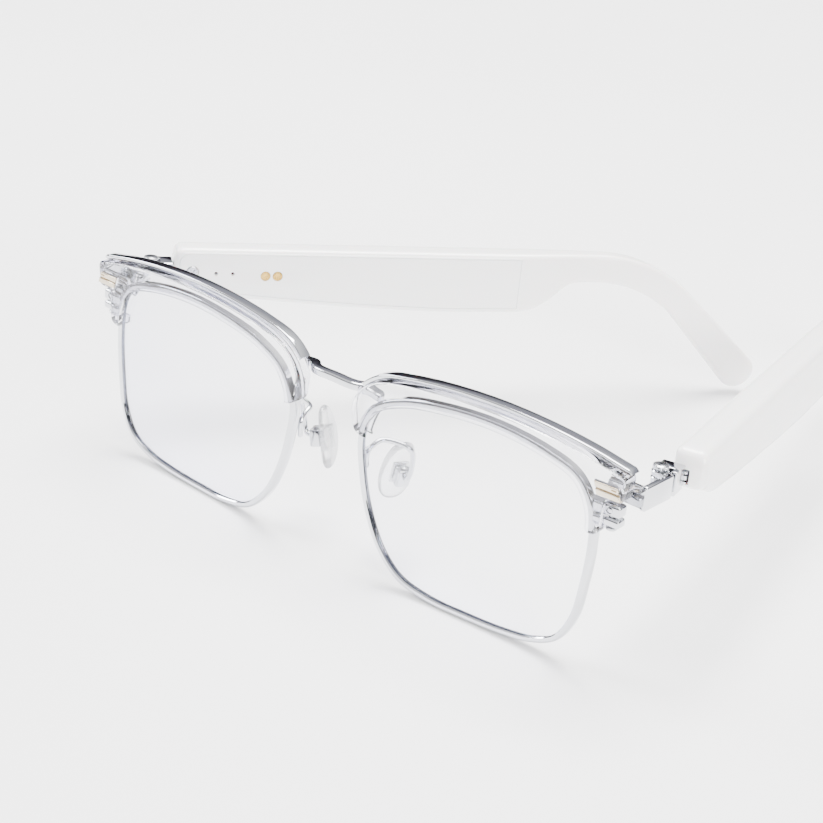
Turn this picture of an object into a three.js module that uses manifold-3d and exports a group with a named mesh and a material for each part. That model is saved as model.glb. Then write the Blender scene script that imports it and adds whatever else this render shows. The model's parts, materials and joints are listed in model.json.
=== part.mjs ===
// Browline smart glasses: metal rims under clear acetate brow bars, and two hollow
// temples that carry the electronics. Millimetres, +Z up, the front faces -Y, +X is
// the wearer's left. The glasses stand on the rims and on the two temple tips.
import * as THREE from 'three';
import { mergeVertices } from 'three/addons/utils/BufferGeometryUtils.js';
import Module from 'manifold-3d';

const wasm = await Module();
wasm.setup();

// ---------------------------------------------------------------- driving sizes
const GAP = 0.3; // clearance between two pieces that seat on each other
const TINY = 0.01;
const DEG = Math.PI / 180;

const LENS = { width: 55, height: 43, thickness: 1.3, bridge: 19.2 };
const RIM = { depth: LENS.thickness + 1.1, wall: 0.6, lip: 0.5, segments: 48 };
const FRONT = { wrap: 3 * DEG, lean: 3 * DEG };

const BROW = {
  front: -RIM.depth / 2 - 1, back: RIM.depth / 2 + 0.8, overlap: 1.0, bevel: 0.45,
  reach: 6.4, end: 5.4, nasalClaw: 12.9, temporalClaw: 14,
};
const TRIM = { height: 0.8, depth: 2.6, proud: 0.25, bevel: 0.25 };
const RIVET = {
  width: 5.2, height: 2.6, skew: 0.9, proud: 0.35, sunk: 0.9, pin: 0.6, drop: 3.9, fromEdge: 3.4,
};
const LOCK = {
  width: 4.2, upper: 2.4, lower: 1.8, slit: 0.4, screw: 0.7, head: 1.1, y: 0.15, belowBrow: 6.9,
};

const BRIDGE = { height: 1.7, depth: 2.3, rise: 0.9, below: 4.2, tab: 2.6, forward: -0.4, bevel: 0.25 };
const PAD = {
  height: 14, width: 7.6, thickness: 2.4, x: LENS.bridge / 2 + 0.2, y: 10.2, z: LENS.height - 23.5,
  splay: 24 * DEG, flare: 12 * DEG, pocketWidth: 3.2, pocketHeight: 4.6, bore: 0.45,
};
const ARM = { wire: 0.55, box: 3.0, wall: 0.45, foot: 4.4, boxHeight: 3.8 };

const HINGE_RADIUS = 1.7;
const PLATE = { thickness: 1.3, inside: HINGE_RADIUS + 0.25, length: 9.0, lug: 8.0 };
const HINGE = {
  x: LENS.bridge / 2 + LENS.width + BROW.reach - 1.5, y: BROW.back + PLATE.length + 4.8,
  z: LENS.height - 5.7, height: 5, ear: 1.2, radius: HINGE_RADIUS, screw: 0.7, head: HINGE_RADIUS - 0.1,
};
const BLOCK = { length: 5.0, lip: 0.6, teeth: 4, toothDepth: 0.7, tongueHeight: 2.6, tongue: 7.0 };

const TEMPLE_START = BLOCK.length + 0.4;
const WALL = { shell: 1.2, cover: 1.2, floor: 1.3 };
const THICKNESS = 7.0;
const DEPTH_INSIDE = THICKNESS - WALL.cover - WALL.floor;
const DEEP_HEIGHT = 14.8;
const SHOULDER_HEIGHT = DEEP_HEIGHT - 3.6;
const TEMPLE_TOP = HINGE.height / 2 + 2.8;
const COVER_SCREW = { y: TEMPLE_START + 4.2, z: -0.2, head: 1.35, shank: 0.6 };
const MICS = { first: TEMPLE_START + 9.6, pitch: 3.8, z: -0.5, radius: 0.4 };
const CONTACTS = { first: TEMPLE_START + 21, pitch: 2.8, z: -0.9, radius: 1.1, stem: 0.5 };
const BOARD = {
  start: TEMPLE_START + 8.6, length: 28, height: SHOULDER_HEIGHT - 4.6, thickness: 0.8,
  mid: TEMPLE_TOP - SHOULDER_HEIGHT / 2 - 0.4,
};
const TOUCH = { start: BOARD.start + 2, length: 22, height: BOARD.height - 0.2, thickness: 0.3 };
const BATTERY = {
  start: BOARD.start + BOARD.length + 2, length: 30, height: DEEP_HEIGHT - 5.8,
  thickness: (DEPTH_INSIDE * 2) / 3,
};
const SPEAKER = {
  start: BATTERY.start + BATTERY.length + 1.5, length: 10, height: 6.4, thickness: (DEPTH_INSIDE * 2) / 3,
};
const BODY_END = SPEAKER.start + SPEAKER.length + 4.5;
const TEMPLE = {
  inside: 0.3, thickness: THICKNESS, start: TEMPLE_START, top: TEMPLE_TOP,
  noseHeight: HINGE.height + 3.4, shoulder: TEMPLE_START + 8.6, shoulderHeight: SHOULDER_HEIGHT,
  deepest: BODY_END - 20, height: DEEP_HEIGHT, bodyEnd: BODY_END, ramp: 12, tipHeight: 6.9,
  tipWidth: 0.68, bendStart: BODY_END + 17, bendRadius: 34, bend: 43 * DEG, tail: 23, paddle: 8.8,
  toeIn: 3, bevel: 1.3, corner: 2.4,
};

const SPLAY = { left: 12 * DEG, right: 38 * DEG };

// -------------------------------------------------------------------- materials
function metal(color, roughness = 0.18) {
  return new THREE.MeshStandardMaterial({ color, roughness, metalness: 1 });
}

function plastic(color, roughness, opacity = 1) {
  const transparent = opacity < 1;
  return new THREE.MeshStandardMaterial({ color, roughness, metalness: 0, opacity, transparent });
}

const MATERIAL = {
  chrome: metal(0xd9dadd, 0.12),
  steel: metal(0xb9bbc0, 0.3),
  rivet: metal(0xd8c7a4, 0.35),
  gold: metal(0xe2c56a, 0.28),
  lens: plastic(0xe8eefc, 0.03, 0.2),
  acetate: plastic(0xe9e9f4, 0.06, 0.35),
  silicone: plastic(0xeeeeee, 0.25, 0.5),
  white: plastic(0xf8f4f2, 0.16),
  board: plastic(0x1f5a38, 0.5),
  cell: plastic(0xb8bcc4, 0.35),
  black: plastic(0x1b1b1d, 0.45),
  amber: plastic(0xb5772a, 0.4),
};

// ---------------------------------------------------------------- solid helpers
function solid(geometry) {
  const g = geometry.clone();
  g.deleteAttribute('normal');
  g.deleteAttribute('uv');
  const merged = mergeVertices(g, 1e-4);
  return new wasm.Manifold(new wasm.Mesh({
    numProp: 3,
    vertProperties: Float32Array.from(merged.attributes.position.array),
    triVerts: Uint32Array.from(merged.index.array),
  }));
}

function geometryOf(body) {
  const mesh = body.getMesh();
  const g = new THREE.BufferGeometry();
  g.setAttribute('position', new THREE.BufferAttribute(Float32Array.from(mesh.vertProperties), 3));
  g.setIndex(new THREE.BufferAttribute(Uint32Array.from(mesh.triVerts), 1));
  return g;
}

function cut(geometry, ...tools) {
  return geometryOf(tools.reduce((body, tool) => body.subtract(solid(tool)), solid(geometry)));
}

function join(...pieces) {
  return geometryOf(pieces.slice(1).reduce((body, piece) => body.add(solid(piece)), solid(pieces[0])));
}

// A box given by its lowest and highest corners.
function block(x0, x1, y0, y1, z0, z1) {
  return new THREE.BoxGeometry(x1 - x0, y1 - y0, z1 - z0)
    .translate((x0 + x1) / 2, (y0 + y1) / 2, (z0 + z1) / 2);
}

function rodZ(radius, z0, z1, x = 0, y = 0, sides = 20) {
  return new THREE.CylinderGeometry(radius, radius, z1 - z0, sides)
    .rotateX(Math.PI / 2).translate(x, y, (z0 + z1) / 2);
}

function rodY(radius, y0, y1, x = 0, z = 0, sides = 16) {
  return new THREE.CylinderGeometry(radius, radius, y1 - y0, sides).translate(x, (y0 + y1) / 2, z);
}

function rodX(radius, x0, x1, y = 0, z = 0, sides = 16) {
  return new THREE.CylinderGeometry(radius, radius, x1 - x0, sides)
    .rotateZ(Math.PI / 2).translate((x0 + x1) / 2, y, z);
}

// A flat outline in the XZ plane made thick along Y, with optional rounded edges.
function plateY(shape, y0, y1, bevel = 0, bevelSegments = 2) {
  const depth = y1 - y0 - 2 * bevel;
  const options = {
    depth, bevelEnabled: bevel > 0, bevelThickness: bevel, bevelSize: bevel,
    bevelOffset: -bevel, bevelSegments, curveSegments: 4,
  };
  return new THREE.ExtrudeGeometry(shape, options).rotateX(Math.PI / 2).translate(0, y1 - bevel, 0);
}

// A flat outline in the YZ plane made thick along X, with optional rounded edges.
function plateX(shape, x0, x1, bevel = 0, bevelSegments = 2) {
  const depth = x1 - x0 - 2 * bevel;
  const options = {
    depth, bevelEnabled: bevel > 0, bevelThickness: bevel, bevelSize: bevel,
    bevelOffset: -bevel, bevelSegments, curveSegments: 4,
  };
  const axes = new THREE.Matrix4().makeBasis(
    new THREE.Vector3(0, 1, 0), new THREE.Vector3(0, 0, 1), new THREE.Vector3(1, 0, 0));
  return new THREE.ExtrudeGeometry(shape, options).applyMatrix4(axes).translate(x0 + bevel, 0, 0);
}

// A round wire along a curve.
function wire(points, radius, steps = 24, sides = 8) {
  const section = new THREE.Shape();
  section.absarc(0, 0, radius, 0, 2 * Math.PI, false);
  const path = new THREE.CatmullRomCurve3(points.map((p) => new THREE.Vector3(...p)), false, 'centripetal');
  return new THREE.ExtrudeGeometry(section, {
    steps, extrudePath: path, curveSegments: sides / 2, bevelEnabled: false,
  });
}

function warp(geometry, move) {
  const p = geometry.attributes.position;
  const v = new THREE.Vector3();
  for (let i = 0; i < p.count; i += 1) {
    v.fromBufferAttribute(p, i);
    move(v);
    p.setXYZ(i, v.x, v.y, v.z);
  }
  return geometry;
}

// The same piece for the other side of the face.
function mirrored(geometry) {
  const g = geometry.index ? geometry.clone() : mergeVertices(stripped(geometry), 1e-4);
  warp(g, (v) => v.setX(-v.x));
  const index = g.index.array;
  for (let i = 0; i < index.length; i += 3) {
    const first = index[i];
    index[i] = index[i + 1];
    index[i + 1] = first;
  }
  return g;
}

function stripped(geometry) {
  const g = geometry.clone();
  g.deleteAttribute('normal');
  g.deleteAttribute('uv');
  return g;
}

// ----------------------------------------------------------------- lens outline
// Points round one lens, as shares of its width (nasal 0, temporal 1) and height.
const LENS_POINTS = [
  [0.000, 0.70], [0.015, 0.50], [0.055, 0.32], [0.117, 0.165], [0.213, 0.048], [0.35, 0.004],
  [0.50, 0.0], [0.69, 0.010], [0.81, 0.036], [0.907, 0.098], [0.964, 0.225], [0.988, 0.40],
  [1.0, 0.60], [0.987, 0.79], [0.925, 0.91], [0.80, 0.966], [0.58, 1.0], [0.36, 0.985],
  [0.18, 0.94], [0.055, 0.855],
];

// Lens frame: u outward from the lens centre, v up from the lens centre.
function lensOutline() {
  const points = LENS_POINTS.map(([u, v]) => new THREE.Vector3(
    (u - 0.5) * LENS.width, (v - 0.5) * LENS.height, 0));
  const curve = new THREE.CatmullRomCurve3(points, true, 'centripetal');
  return curve.getSpacedPoints(RIM.segments).slice(0, -1).map((p) => new THREE.Vector2(p.x, p.y));
}

const OUTLINE = lensOutline();

// The lens outline moved outwards by a distance; it runs anticlockwise.
function offset(distance) {
  const n = OUTLINE.length;
  return OUTLINE.map((p, i) => {
    const along = OUTLINE[(i + 1) % n].clone().sub(OUTLINE[(i + n - 1) % n]).normalize();
    return new THREE.Vector2(p.x + along.y * distance, p.y - along.x * distance);
  });
}

function outlineShape(distance) {
  return new THREE.Shape(offset(distance));
}

// The rim's outer edge on the temporal side, at a height v above the lens centre.
function temporalEdge(v) {
  const near = offset(RIM.wall + GAP).filter((p) => p.x > 0 && Math.abs(p.y - v) < 2);
  near.sort((a, b) => Math.abs(a.y - v) - Math.abs(b.y - v));
  return near[0].x;
}

const TOP = LENS.height / 2; // v of the lens's highest point
const EDGE = LENS.width / 2; // u of the lens's outermost point
const RIM_OUT = GAP + RIM.wall; // rim's outer edge, beyond the lens edge

// ------------------------------------------------------------------ front pieces
function lensGeometry() {
  return plateY(outlineShape(0), -LENS.thickness / 2, LENS.thickness / 2);
}

function lockTop() {
  return TOP - LOCK.belowBrow;
}

// The rim lock's screw stands beside the rim, clear of its widest point.
function lockX() {
  return EDGE + RIM_OUT + LOCK.width / 2 + 0.5;
}

function rimGeometry() {
  const ring = outlineShape(RIM_OUT);
  ring.holes.push(new THREE.Path(offset(-RIM.lip)));
  const half = RIM.depth / 2;
  const grooveHalf = LENS.thickness / 2 + 0.25;
  const groove = plateY(outlineShape(GAP), -grooveHalf, grooveHalf);
  const top = lockTop();
  const mid = top - LOCK.upper;
  const low = mid - LOCK.slit - LOCK.lower;
  const outer = lockX() + LOCK.width / 2;
  const opening = plateY(outlineShape(-RIM.lip), -5, 5);
  const blocks = cut(block(temporalEdge(top) - 0.4, outer, -half, half + 0.3, low, top), opening);
  const slit = block(EDGE - 6, outer + 1, -half - 1, half + 1, mid - LOCK.slit, mid);
  const hole = rodZ(LOCK.screw + 0.1, low - 1, top - 0.6, lockX(), LOCK.y, 14);
  return cut(join(plateY(ring, -half, half), blocks), groove, slit, hole);
}

function lockScrewGeometry() {
  const top = lockTop();
  const low = top - LOCK.upper - LOCK.slit - LOCK.lower;
  const x = lockX();
  const head = rodZ(LOCK.head, low - GAP - 0.7, low - GAP, x, LOCK.y, 16);
  const shank = rodZ(LOCK.screw, low - 0.4, top - 0.9, x, LOCK.y, 14);
  const slot = block(x - 2, x + 2, LOCK.y - 0.17, LOCK.y + 0.17, low - 1.3, low - 0.65);
  return cut(join(head, shank), slot);
}

// The brow's outer edge, from the nasal claw's tip over the top to the temporal claw's tip.
function browTopPoints() {
  const n = -EDGE;
  return [
    [n - 2.1, TOP - 5.6], [n - 0.8, TOP - 3.2], [n + 3.2, TOP - 0.2], [n + 10, TOP + 1.4],
    [n + 20, TOP + 2.6], [n + 31, TOP + 3.0], [n + 42, TOP + 2.5], [n + 52, TOP + 1.3],
    [EDGE + BROW.reach - 0.6, TOP - 0.4],
  ];
}

function smoothTop(samples = 24) {
  const points = browTopPoints().map(([u, v]) => new THREE.Vector3(u, v, 0));
  const curve = new THREE.CatmullRomCurve3(points, false, 'centripetal');
  return curve.getSpacedPoints(samples).map((p) => new THREE.Vector2(p.x, p.y));
}

function browShape() {
  const shape = new THREE.Shape();
  const nasal = -EDGE;
  const temporal = EDGE + RIM_OUT + GAP;
  const outer = EDGE + BROW.reach;
  const nasalTip = TOP - BROW.nasalClaw;
  const temporalTip = TOP - BROW.temporalClaw;
  const under = TOP - BROW.end - 0.6;
  shape.moveTo(nasal + 1.0, nasalTip);
  shape.quadraticCurveTo(nasal - 1.6, nasalTip + 0.2, nasal - 1.9, nasalTip + 2.4);
  shape.lineTo(nasal - 2.3, TOP - 7);
  smoothTop().forEach((p) => shape.lineTo(p.x, p.y));
  shape.quadraticCurveTo(outer, TOP - 0.6, outer, TOP - 1.8);
  shape.lineTo(outer - 0.3, under + 1);
  shape.quadraticCurveTo(outer - 0.4, under, outer - 1.6, under);
  shape.lineTo(temporal + 2.0, under + 0.2);
  shape.quadraticCurveTo(temporal + 1.2, under + 0.2, temporal + 1.1, under - 1);
  shape.lineTo(temporal + 0.9, temporalTip + 2);
  shape.quadraticCurveTo(temporal + 0.7, temporalTip, temporal - 1.4, temporalTip);
  shape.lineTo(EDGE - 5, temporalTip);
  shape.lineTo(EDGE - 6, nasalTip);
  return shape;
}

// The lug behind the brow takes the rivet; the brow is bored for its pin.
function rivetCentre() {
  return { u: EDGE + BROW.reach - RIVET.fromEdge, v: TOP - RIVET.drop };
}

function browGeometry() {
  const inside = plateY(outlineShape(-BROW.overlap), -12, 12);
  const half = RIM.depth / 2 + GAP;
  const rimBed = plateY(outlineShape(RIM_OUT + GAP), -half, half);
  const low = lockTop() - LOCK.upper - LOCK.slit - LOCK.lower - GAP;
  const lockBed = block(EDGE - 6, EDGE + 9, -half, 6, low, lockTop() + GAP);
  const { u, v } = rivetCentre();
  const bore = rodY(RIVET.pin + 0.15, -6, 6, u, v, 14);
  const seat = plateY(rivetShape(GAP), BROW.front - 1, BROW.front + RIVET.sunk);
  const brow = plateY(browShape(), BROW.front, BROW.back, BROW.bevel, 1);
  return cut(brow, inside, rimBed, lockBed, bore, seat);
}

function rivetShape(grow = 0) {
  const { u, v } = rivetCentre();
  const w = RIVET.width / 2 + grow;
  const h = RIVET.height / 2 + grow;
  return new THREE.Shape([
    new THREE.Vector2(u - w - RIVET.skew / 2, v + h), new THREE.Vector2(u - w + RIVET.skew / 2, v - h),
    new THREE.Vector2(u + w + RIVET.skew / 2, v - h), new THREE.Vector2(u + w - RIVET.skew / 2, v + h),
  ].reverse());
}

function rivetGeometry() {
  const { u, v } = rivetCentre();
  const face = BROW.front - RIVET.proud;
  const seat = BROW.front + RIVET.sunk - GAP;
  const head = plateY(rivetShape(), face, seat, 0.12, 1);
  const groove = block(u - RIVET.width, u + RIVET.width, face - 1, face + 0.3, v - 0.16, v + 0.16);
  const slot = block(u + 0.9, u + 1.9, face - 1, face + 0.35, v + 0.5, v + 0.75);
  const pin = rodY(RIVET.pin, seat - 0.2, BROW.back - 0.1, u, v, 14);
  return cut(join(head, pin), groove, slot);
}

// A polished strip along the top of the brow, on its rear half.
function trimGeometry() {
  const line = smoothTop(24).slice(1);
  const normalAt = (i) => {
    const a = line[Math.max(i - 1, 0)];
    const b = line[Math.min(i + 1, line.length - 1)];
    const t = b.clone().sub(a).normalize();
    return new THREE.Vector2(-t.y, t.x);
  };
  const lower = line.map((p, i) => p.clone().addScaledVector(normalAt(i), GAP));
  const upper = line.map((p, i) => p.clone().addScaledVector(normalAt(i), GAP + TRIM.height));
  const last = line.length - 1;
  const along = line[last].clone().sub(line[last - 1]).normalize();
  const tip = line[last].clone().addScaledVector(along, 1.1).addScaledVector(normalAt(last), GAP + 0.35);
  const shape = new THREE.Shape([...lower, tip, ...upper.reverse()]);
  const back = BROW.back + TRIM.proud;
  return plateY(shape, back - TRIM.depth, back, TRIM.bevel, 1);
}

// A flat-topped bar between the two rims, with a tab at each end behind the rim.
function bridgeGeometry() {
  const half = LENS.bridge / 2;
  const z = LENS.height + RIM_OUT - BRIDGE.below;
  const back = RIM.depth / 2 + BRIDGE.depth / 2 + 0.05;
  const line = [
    [-half - BRIDGE.tab, back], [-half + 1.4, back - 0.2], [-half + 4.4, 0], [0, BRIDGE.forward],
    [half - 4.4, 0], [half - 1.4, back - 0.2], [half + BRIDGE.tab, back],
  ].map(([x, y]) => new THREE.Vector3(x, y, 0));
  const path = new THREE.CatmullRomCurve3(line, false, 'centripetal');
  const steps = 36;
  const frontEdge = [];
  const backEdge = [];
  for (let i = 0; i <= steps; i += 1) {
    const p = path.getPoint(i / steps);
    const t = path.getTangent(i / steps);
    frontEdge.push(new THREE.Vector2(p.x + t.y * BRIDGE.depth / 2, p.y - t.x * BRIDGE.depth / 2));
    backEdge.push(new THREE.Vector2(p.x - t.y * BRIDGE.depth / 2, p.y + t.x * BRIDGE.depth / 2));
  }
  const { bevel } = BRIDGE;
  const bar = new THREE.ExtrudeGeometry(new THREE.Shape([...frontEdge, ...backEdge.reverse()]), {
    depth: BRIDGE.height - 2 * bevel, bevelEnabled: true, bevelThickness: bevel, bevelSize: bevel,
    bevelOffset: -bevel, bevelSegments: 1,
  });
  const lift = (x) => {
    const s = Math.min(Math.abs(x) / (half + BRIDGE.tab), 1);
    return BRIDGE.rise * (1 - s * s);
  };
  return warp(bar, (v) => v.setZ(v.z + z - BRIDGE.height + lift(v.x)));
}

// ---------------------------------------------------------------- nose pad pieces
// Pad frame: X along the pad's outward normal to the arm, Z along its length.
const PAD_AXIS = PAD.thickness / 2 + 1.4; // x of the little screw that the pad rocks on
const PAD_PLATE = 1.0; // depth of the pocket that takes the mount's plate

function padShape(grow = 0) {
  const h = PAD.height / 2 + grow;
  const w = PAD.width / 2 + grow;
  const shape = new THREE.Shape();
  shape.moveTo(0, -h);
  shape.bezierCurveTo(w * 1.15, -h, w * 1.15, 0, w * 0.8, h * 0.45);
  shape.bezierCurveTo(w * 0.6, h * 0.95, w * 0.3, h, 0, h);
  shape.bezierCurveTo(-w * 0.5, h, -w * 0.85, h * 0.8, -w * 0.95, h * 0.2);
  shape.bezierCurveTo(-w * 1.1, -h * 0.5, -w * 0.8, -h, 0, -h);
  return shape;
}

function padGeometry() {
  const half = PAD.thickness / 2;
  const pad = plateX(padShape(), -half, half, 0.9, 3);
  const w = PAD.pocketWidth / 2 + GAP;
  const h = PAD.pocketHeight / 2 + GAP;
  const pocket = block(half - PAD_PLATE, half + 1, -w, w, -h, h);
  const cupped = warp(pad, (v) => v.setX(v.x + 0.012 * v.z * v.z));
  return cut(cupped, pocket);
}

function padMountGeometry() {
  const half = PAD.thickness / 2;
  const w = PAD.pocketWidth / 2;
  const h = PAD.pocketHeight / 2;
  const plate = block(half - PAD_PLATE + GAP, half + 0.1, -w, w, -h, h);
  const lug = block(half, half + 1.9, -0.5, 0.5, -0.8, 0.8);
  const bore = rodZ(PAD.bore, -3, 3, PAD_AXIS, 0, 12);
  return cut(join(plate, lug), bore);
}

function padScrewGeometry() {
  const seat = ARM.boxHeight / 2 + 0.15;
  const head = rodZ(0.75, seat, seat + 0.4, PAD_AXIS, 0, 14);
  const shank = rodZ(PAD.bore - 0.1, -ARM.boxHeight / 2, seat + 0.05, PAD_AXIS, 0, 12);
  const slot = block(PAD_AXIS - 1, PAD_AXIS + 1, -0.1, 0.1, seat + 0.25, seat + 1);
  return cut(join(head, shank), slot);
}

// The box that holds the pad, with the bent wire that carries it from the rim.
function padArmGeometry(toArm) {
  const x = PAD_AXIS;
  const h = ARM.boxHeight / 2;
  const w = ARM.box / 2;
  const box = cut(
    block(x - 1.0, x + 1.3, -w, w, -h, h),
    block(x - 3, x + 1.3 - ARM.wall, -w + ARM.wall, w - ARM.wall, -h + ARM.wall, h - ARM.wall),
    rodZ(PAD.bore, -4, 4, x, 0, 12));
  return join(box, wire(toArm, ARM.wire));
}

// ------------------------------------------------------------------ hinge pieces
// Hinge frame: origin on the hinge axis at mid height, X outward, Y back, Z up.
const EAR_TOP = HINGE.height / 2;
const KNUCKLE_HALF = EAR_TOP - HINGE.ear - GAP;
const SCREW_BORE = HINGE.screw + 0.1;

function endpieceGeometry() {
  const outer = PLATE.inside + PLATE.thickness;
  const plate = block(PLATE.inside, outer, -PLATE.length, -0.05, -EAR_TOP, EAR_TOP);
  const lug = block(
    outer - PLATE.lug, outer, -PLATE.length, -PLATE.length + 1.1, -EAR_TOP + 0.3, EAR_TOP - 0.3);
  const ears = [[-EAR_TOP, -EAR_TOP + HINGE.ear], [EAR_TOP - HINGE.ear, EAR_TOP]].map(([z0, z1]) => join(
    rodZ(HINGE.radius, z0, z1, 0, 0, 24),
    block(0, PLATE.inside + TINY, -HINGE.radius, 0, z0, z1)));
  const bore = rodZ(SCREW_BORE, -10, 10, 0, 0, 16);
  return cut(join(plate, lug, ...ears), bore);
}

function hingeScrewGeometry() {
  const top = EAR_TOP + GAP;
  const head = new THREE.CylinderGeometry(HINGE.head * 0.82, HINGE.head, 0.9, 12)
    .rotateX(Math.PI / 2).translate(0, 0, top + 0.45);
  const shank = rodZ(HINGE.screw, -EAR_TOP, top + 0.1, 0, 0, 16);
  const slots = [0, Math.PI / 2].map((a) => block(-0.8, 0.8, -0.16, 0.16, top + 0.45, top + 2).rotateZ(a));
  return cut(join(head, shank), ...slots);
}

function templeHingeGeometry() {
  const outer = PLATE.inside + PLATE.thickness;
  const inner = -HINGE.radius + 0.3;
  const clear = HINGE.radius + 0.35;
  const body = block(inner, outer, clear, BLOCK.length, -EAR_TOP, EAR_TOP);
  const lip = block(PLATE.inside + 0.05, outer, BLOCK.lip, clear + TINY, -EAR_TOP, EAR_TOP);
  const knuckle = rodZ(HINGE.radius, -KNUCKLE_HALF, KNUCKLE_HALF, 0, 0, 24);
  const neckHalf = HINGE.radius * 0.75;
  const neck = block(-neckHalf, neckHalf, 0, clear + TINY, -KNUCKLE_HALF, KNUCKLE_HALF);
  const z = COVER_SCREW.z;
  const half = BLOCK.tongueHeight / 2;
  const tongue = block(
    TEMPLE.inside + WALL.cover + 0.6, TEMPLE.inside + WALL.cover + 2.2,
    BLOCK.length - 0.5, BLOCK.length + BLOCK.tongue, z - half, z + half);
  const pitch = HINGE.height / BLOCK.teeth;
  const notch = new THREE.Shape([
    new THREE.Vector2(BLOCK.length + 0.2, pitch * 0.42),
    new THREE.Vector2(BLOCK.length - BLOCK.toothDepth, 0),
    new THREE.Vector2(BLOCK.length + 0.2, -pitch * 0.42),
  ]);
  const notches = Array.from({ length: BLOCK.teeth }, (_, i) => plateX(notch, outer - 1.2, outer + 1)
    .translate(0, 0, -EAR_TOP + (i + 0.5) * pitch));
  const bore = rodZ(SCREW_BORE, -10, 10, 0, 0, 16);
  const screwHole = rodX(COVER_SCREW.shank + 0.3, -5, 9, COVER_SCREW.y, z, 14);
  return cut(join(body, lip, knuckle, neck, tongue), bore, screwHole, ...notches);
}

// ----------------------------------------------------------------- temple pieces
// Side view of the temple: y back from the hinge axis, z up. Inset shrinks it all round,
// and an end cuts it off square, for the pieces that fill only the hollow part.
function templeShape(inset = 0, end = Infinity) {
  const t = TEMPLE;
  const top = t.top - inset;
  const start = t.start + inset;
  const under = (height) => t.top - height + inset;
  const shape = new THREE.Shape();
  shape.moveTo(start, top - t.corner);
  shape.quadraticCurveTo(start, top, start + t.corner, top);
  if (end < t.bodyEnd) {
    shape.lineTo(end, top);
    shape.lineTo(end, under(t.height) + 0.2);
  } else {
    earTip(shape);
    shape.lineTo(t.bodyEnd + t.ramp, under(t.tipHeight));
    shape.bezierCurveTo(t.bodyEnd + t.ramp * 0.6, under(t.tipHeight),
      t.bodyEnd + t.ramp * 0.45, under(t.height) + 0.4, t.bodyEnd - t.ramp * 0.3, under(t.height) + 0.2);
  }
  shape.lineTo(t.deepest, under(t.height));
  shape.quadraticCurveTo(t.shoulder + 24, under(t.height) + 0.9, t.shoulder, under(t.shoulderHeight));
  shape.lineTo(start + t.corner, under(t.noseHeight));
  shape.quadraticCurveTo(start, under(t.noseHeight) + 0.4, start, under(t.noseHeight) + t.corner);
  return shape;
}

// The ear tip: the top line bends down by an arc, runs straight, grows to a paddle and
// ends in a half round; the lower line comes back beside it.
function earTip(shape) {
  const t = TEMPLE;
  const cz = t.top - t.bendRadius;
  const at = (radius, angle, run) => new THREE.Vector2(
    t.bendStart + radius * Math.sin(angle) + run * Math.cos(angle),
    cz + radius * Math.cos(angle) - run * Math.sin(angle));
  const steps = 9;
  const innerRadius = t.bendRadius - t.tipHeight;
  shape.lineTo(t.bendStart - 8, t.top);
  for (let i = 0; i <= steps; i += 1) {
    const p = at(t.bendRadius, (t.bend * i) / steps, 0);
    shape.lineTo(p.x, p.y);
  }
  const half = t.paddle / 2;
  for (let i = 0; i <= steps; i += 1) {
    const a = (Math.PI * i) / steps;
    const p = at(t.bendRadius - half + half * Math.cos(a), t.bend, t.tail + half * Math.sin(a));
    shape.lineTo(p.x, p.y);
  }
  for (let i = steps; i >= 0; i -= 1) {
    const p = at(innerRadius, (t.bend * i) / steps, 0);
    shape.lineTo(p.x, p.y);
  }
}

// Behind the electronics the temple gets thinner and turns a little inwards.
function taper(geometry) {
  const t = TEMPLE;
  const mid = t.inside + t.thickness / 2;
  return warp(geometry, (v) => {
    const s = Math.min(Math.max((v.y - t.bodyEnd + 6) / 26, 0), 1);
    const ease = s * s * (3 - 2 * s);
    const run = Math.max(v.y - t.bodyEnd, 0) / 50;
    v.x = mid + (v.x - mid) * (1 - (1 - t.tipWidth) * ease) - t.toeIn * run * run;
  });
}

const CAVITY_END = TEMPLE.bodyEnd - 3;

function shellGeometry() {
  const t = TEMPLE;
  const inner = t.inside;
  const outer = inner + t.thickness;
  const skin = taper(plateX(templeShape(), inner, outer, t.bevel, 2));
  const rebate = plateX(templeShape(WALL.shell, CAVITY_END), inner - 1, outer - WALL.floor);
  const z = COVER_SCREW.z;
  const half = BLOCK.tongueHeight / 2 + GAP;
  const slot = block(
    inner + WALL.cover + 0.3, inner + WALL.cover + 2.5, t.start - 2, t.start + 3, z - half, z + half);
  const boss = cut(
    rodX(1.7, inner + WALL.cover + 2.5, outer - WALL.floor + 0.3, COVER_SCREW.y, z, 18),
    rodX(COVER_SCREW.shank + 0.3, -5, outer - WALL.floor - 0.2, COVER_SCREW.y, z, 14));
  const outlets = [0, 1, 2].map((i) => block(
    inner + 2.4, outer - 2.4, SPEAKER.start + 1.5 + i * 2.2, SPEAKER.start + 2.5 + i * 2.2,
    TEMPLE_BASE - 1, TEMPLE_BASE + WALL.shell + 1));
  return join(cut(skin, rebate, slot, ...outlets), boss);
}

function contactCentres() {
  return [0, 1].map((i) => CONTACTS.first + i * CONTACTS.pitch);
}

function micCentres() {
  return [0, 1].map((i) => MICS.first + i * MICS.pitch);
}

function coverGeometry() {
  const t = TEMPLE;
  const outline = templeShape(WALL.shell + GAP, CAVITY_END - GAP);
  const plate = plateX(outline, t.inside, t.inside + WALL.cover, 0.2, 1);
  const screw = rodX(COVER_SCREW.shank + 0.3, -5, 5, COVER_SCREW.y, COVER_SCREW.z, 14);
  const sink = rodX(COVER_SCREW.head + GAP, -5, t.inside + 0.6, COVER_SCREW.y, COVER_SCREW.z, 20);
  const mics = micCentres().map((y) => rodX(MICS.radius, -5, 5, y, MICS.z, 12));
  const contacts = contactCentres().map((y) => rodX(CONTACTS.radius + 0.15, -5, 5, y, CONTACTS.z, 20));
  return cut(plate, screw, sink, ...mics, ...contacts);
}

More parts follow.
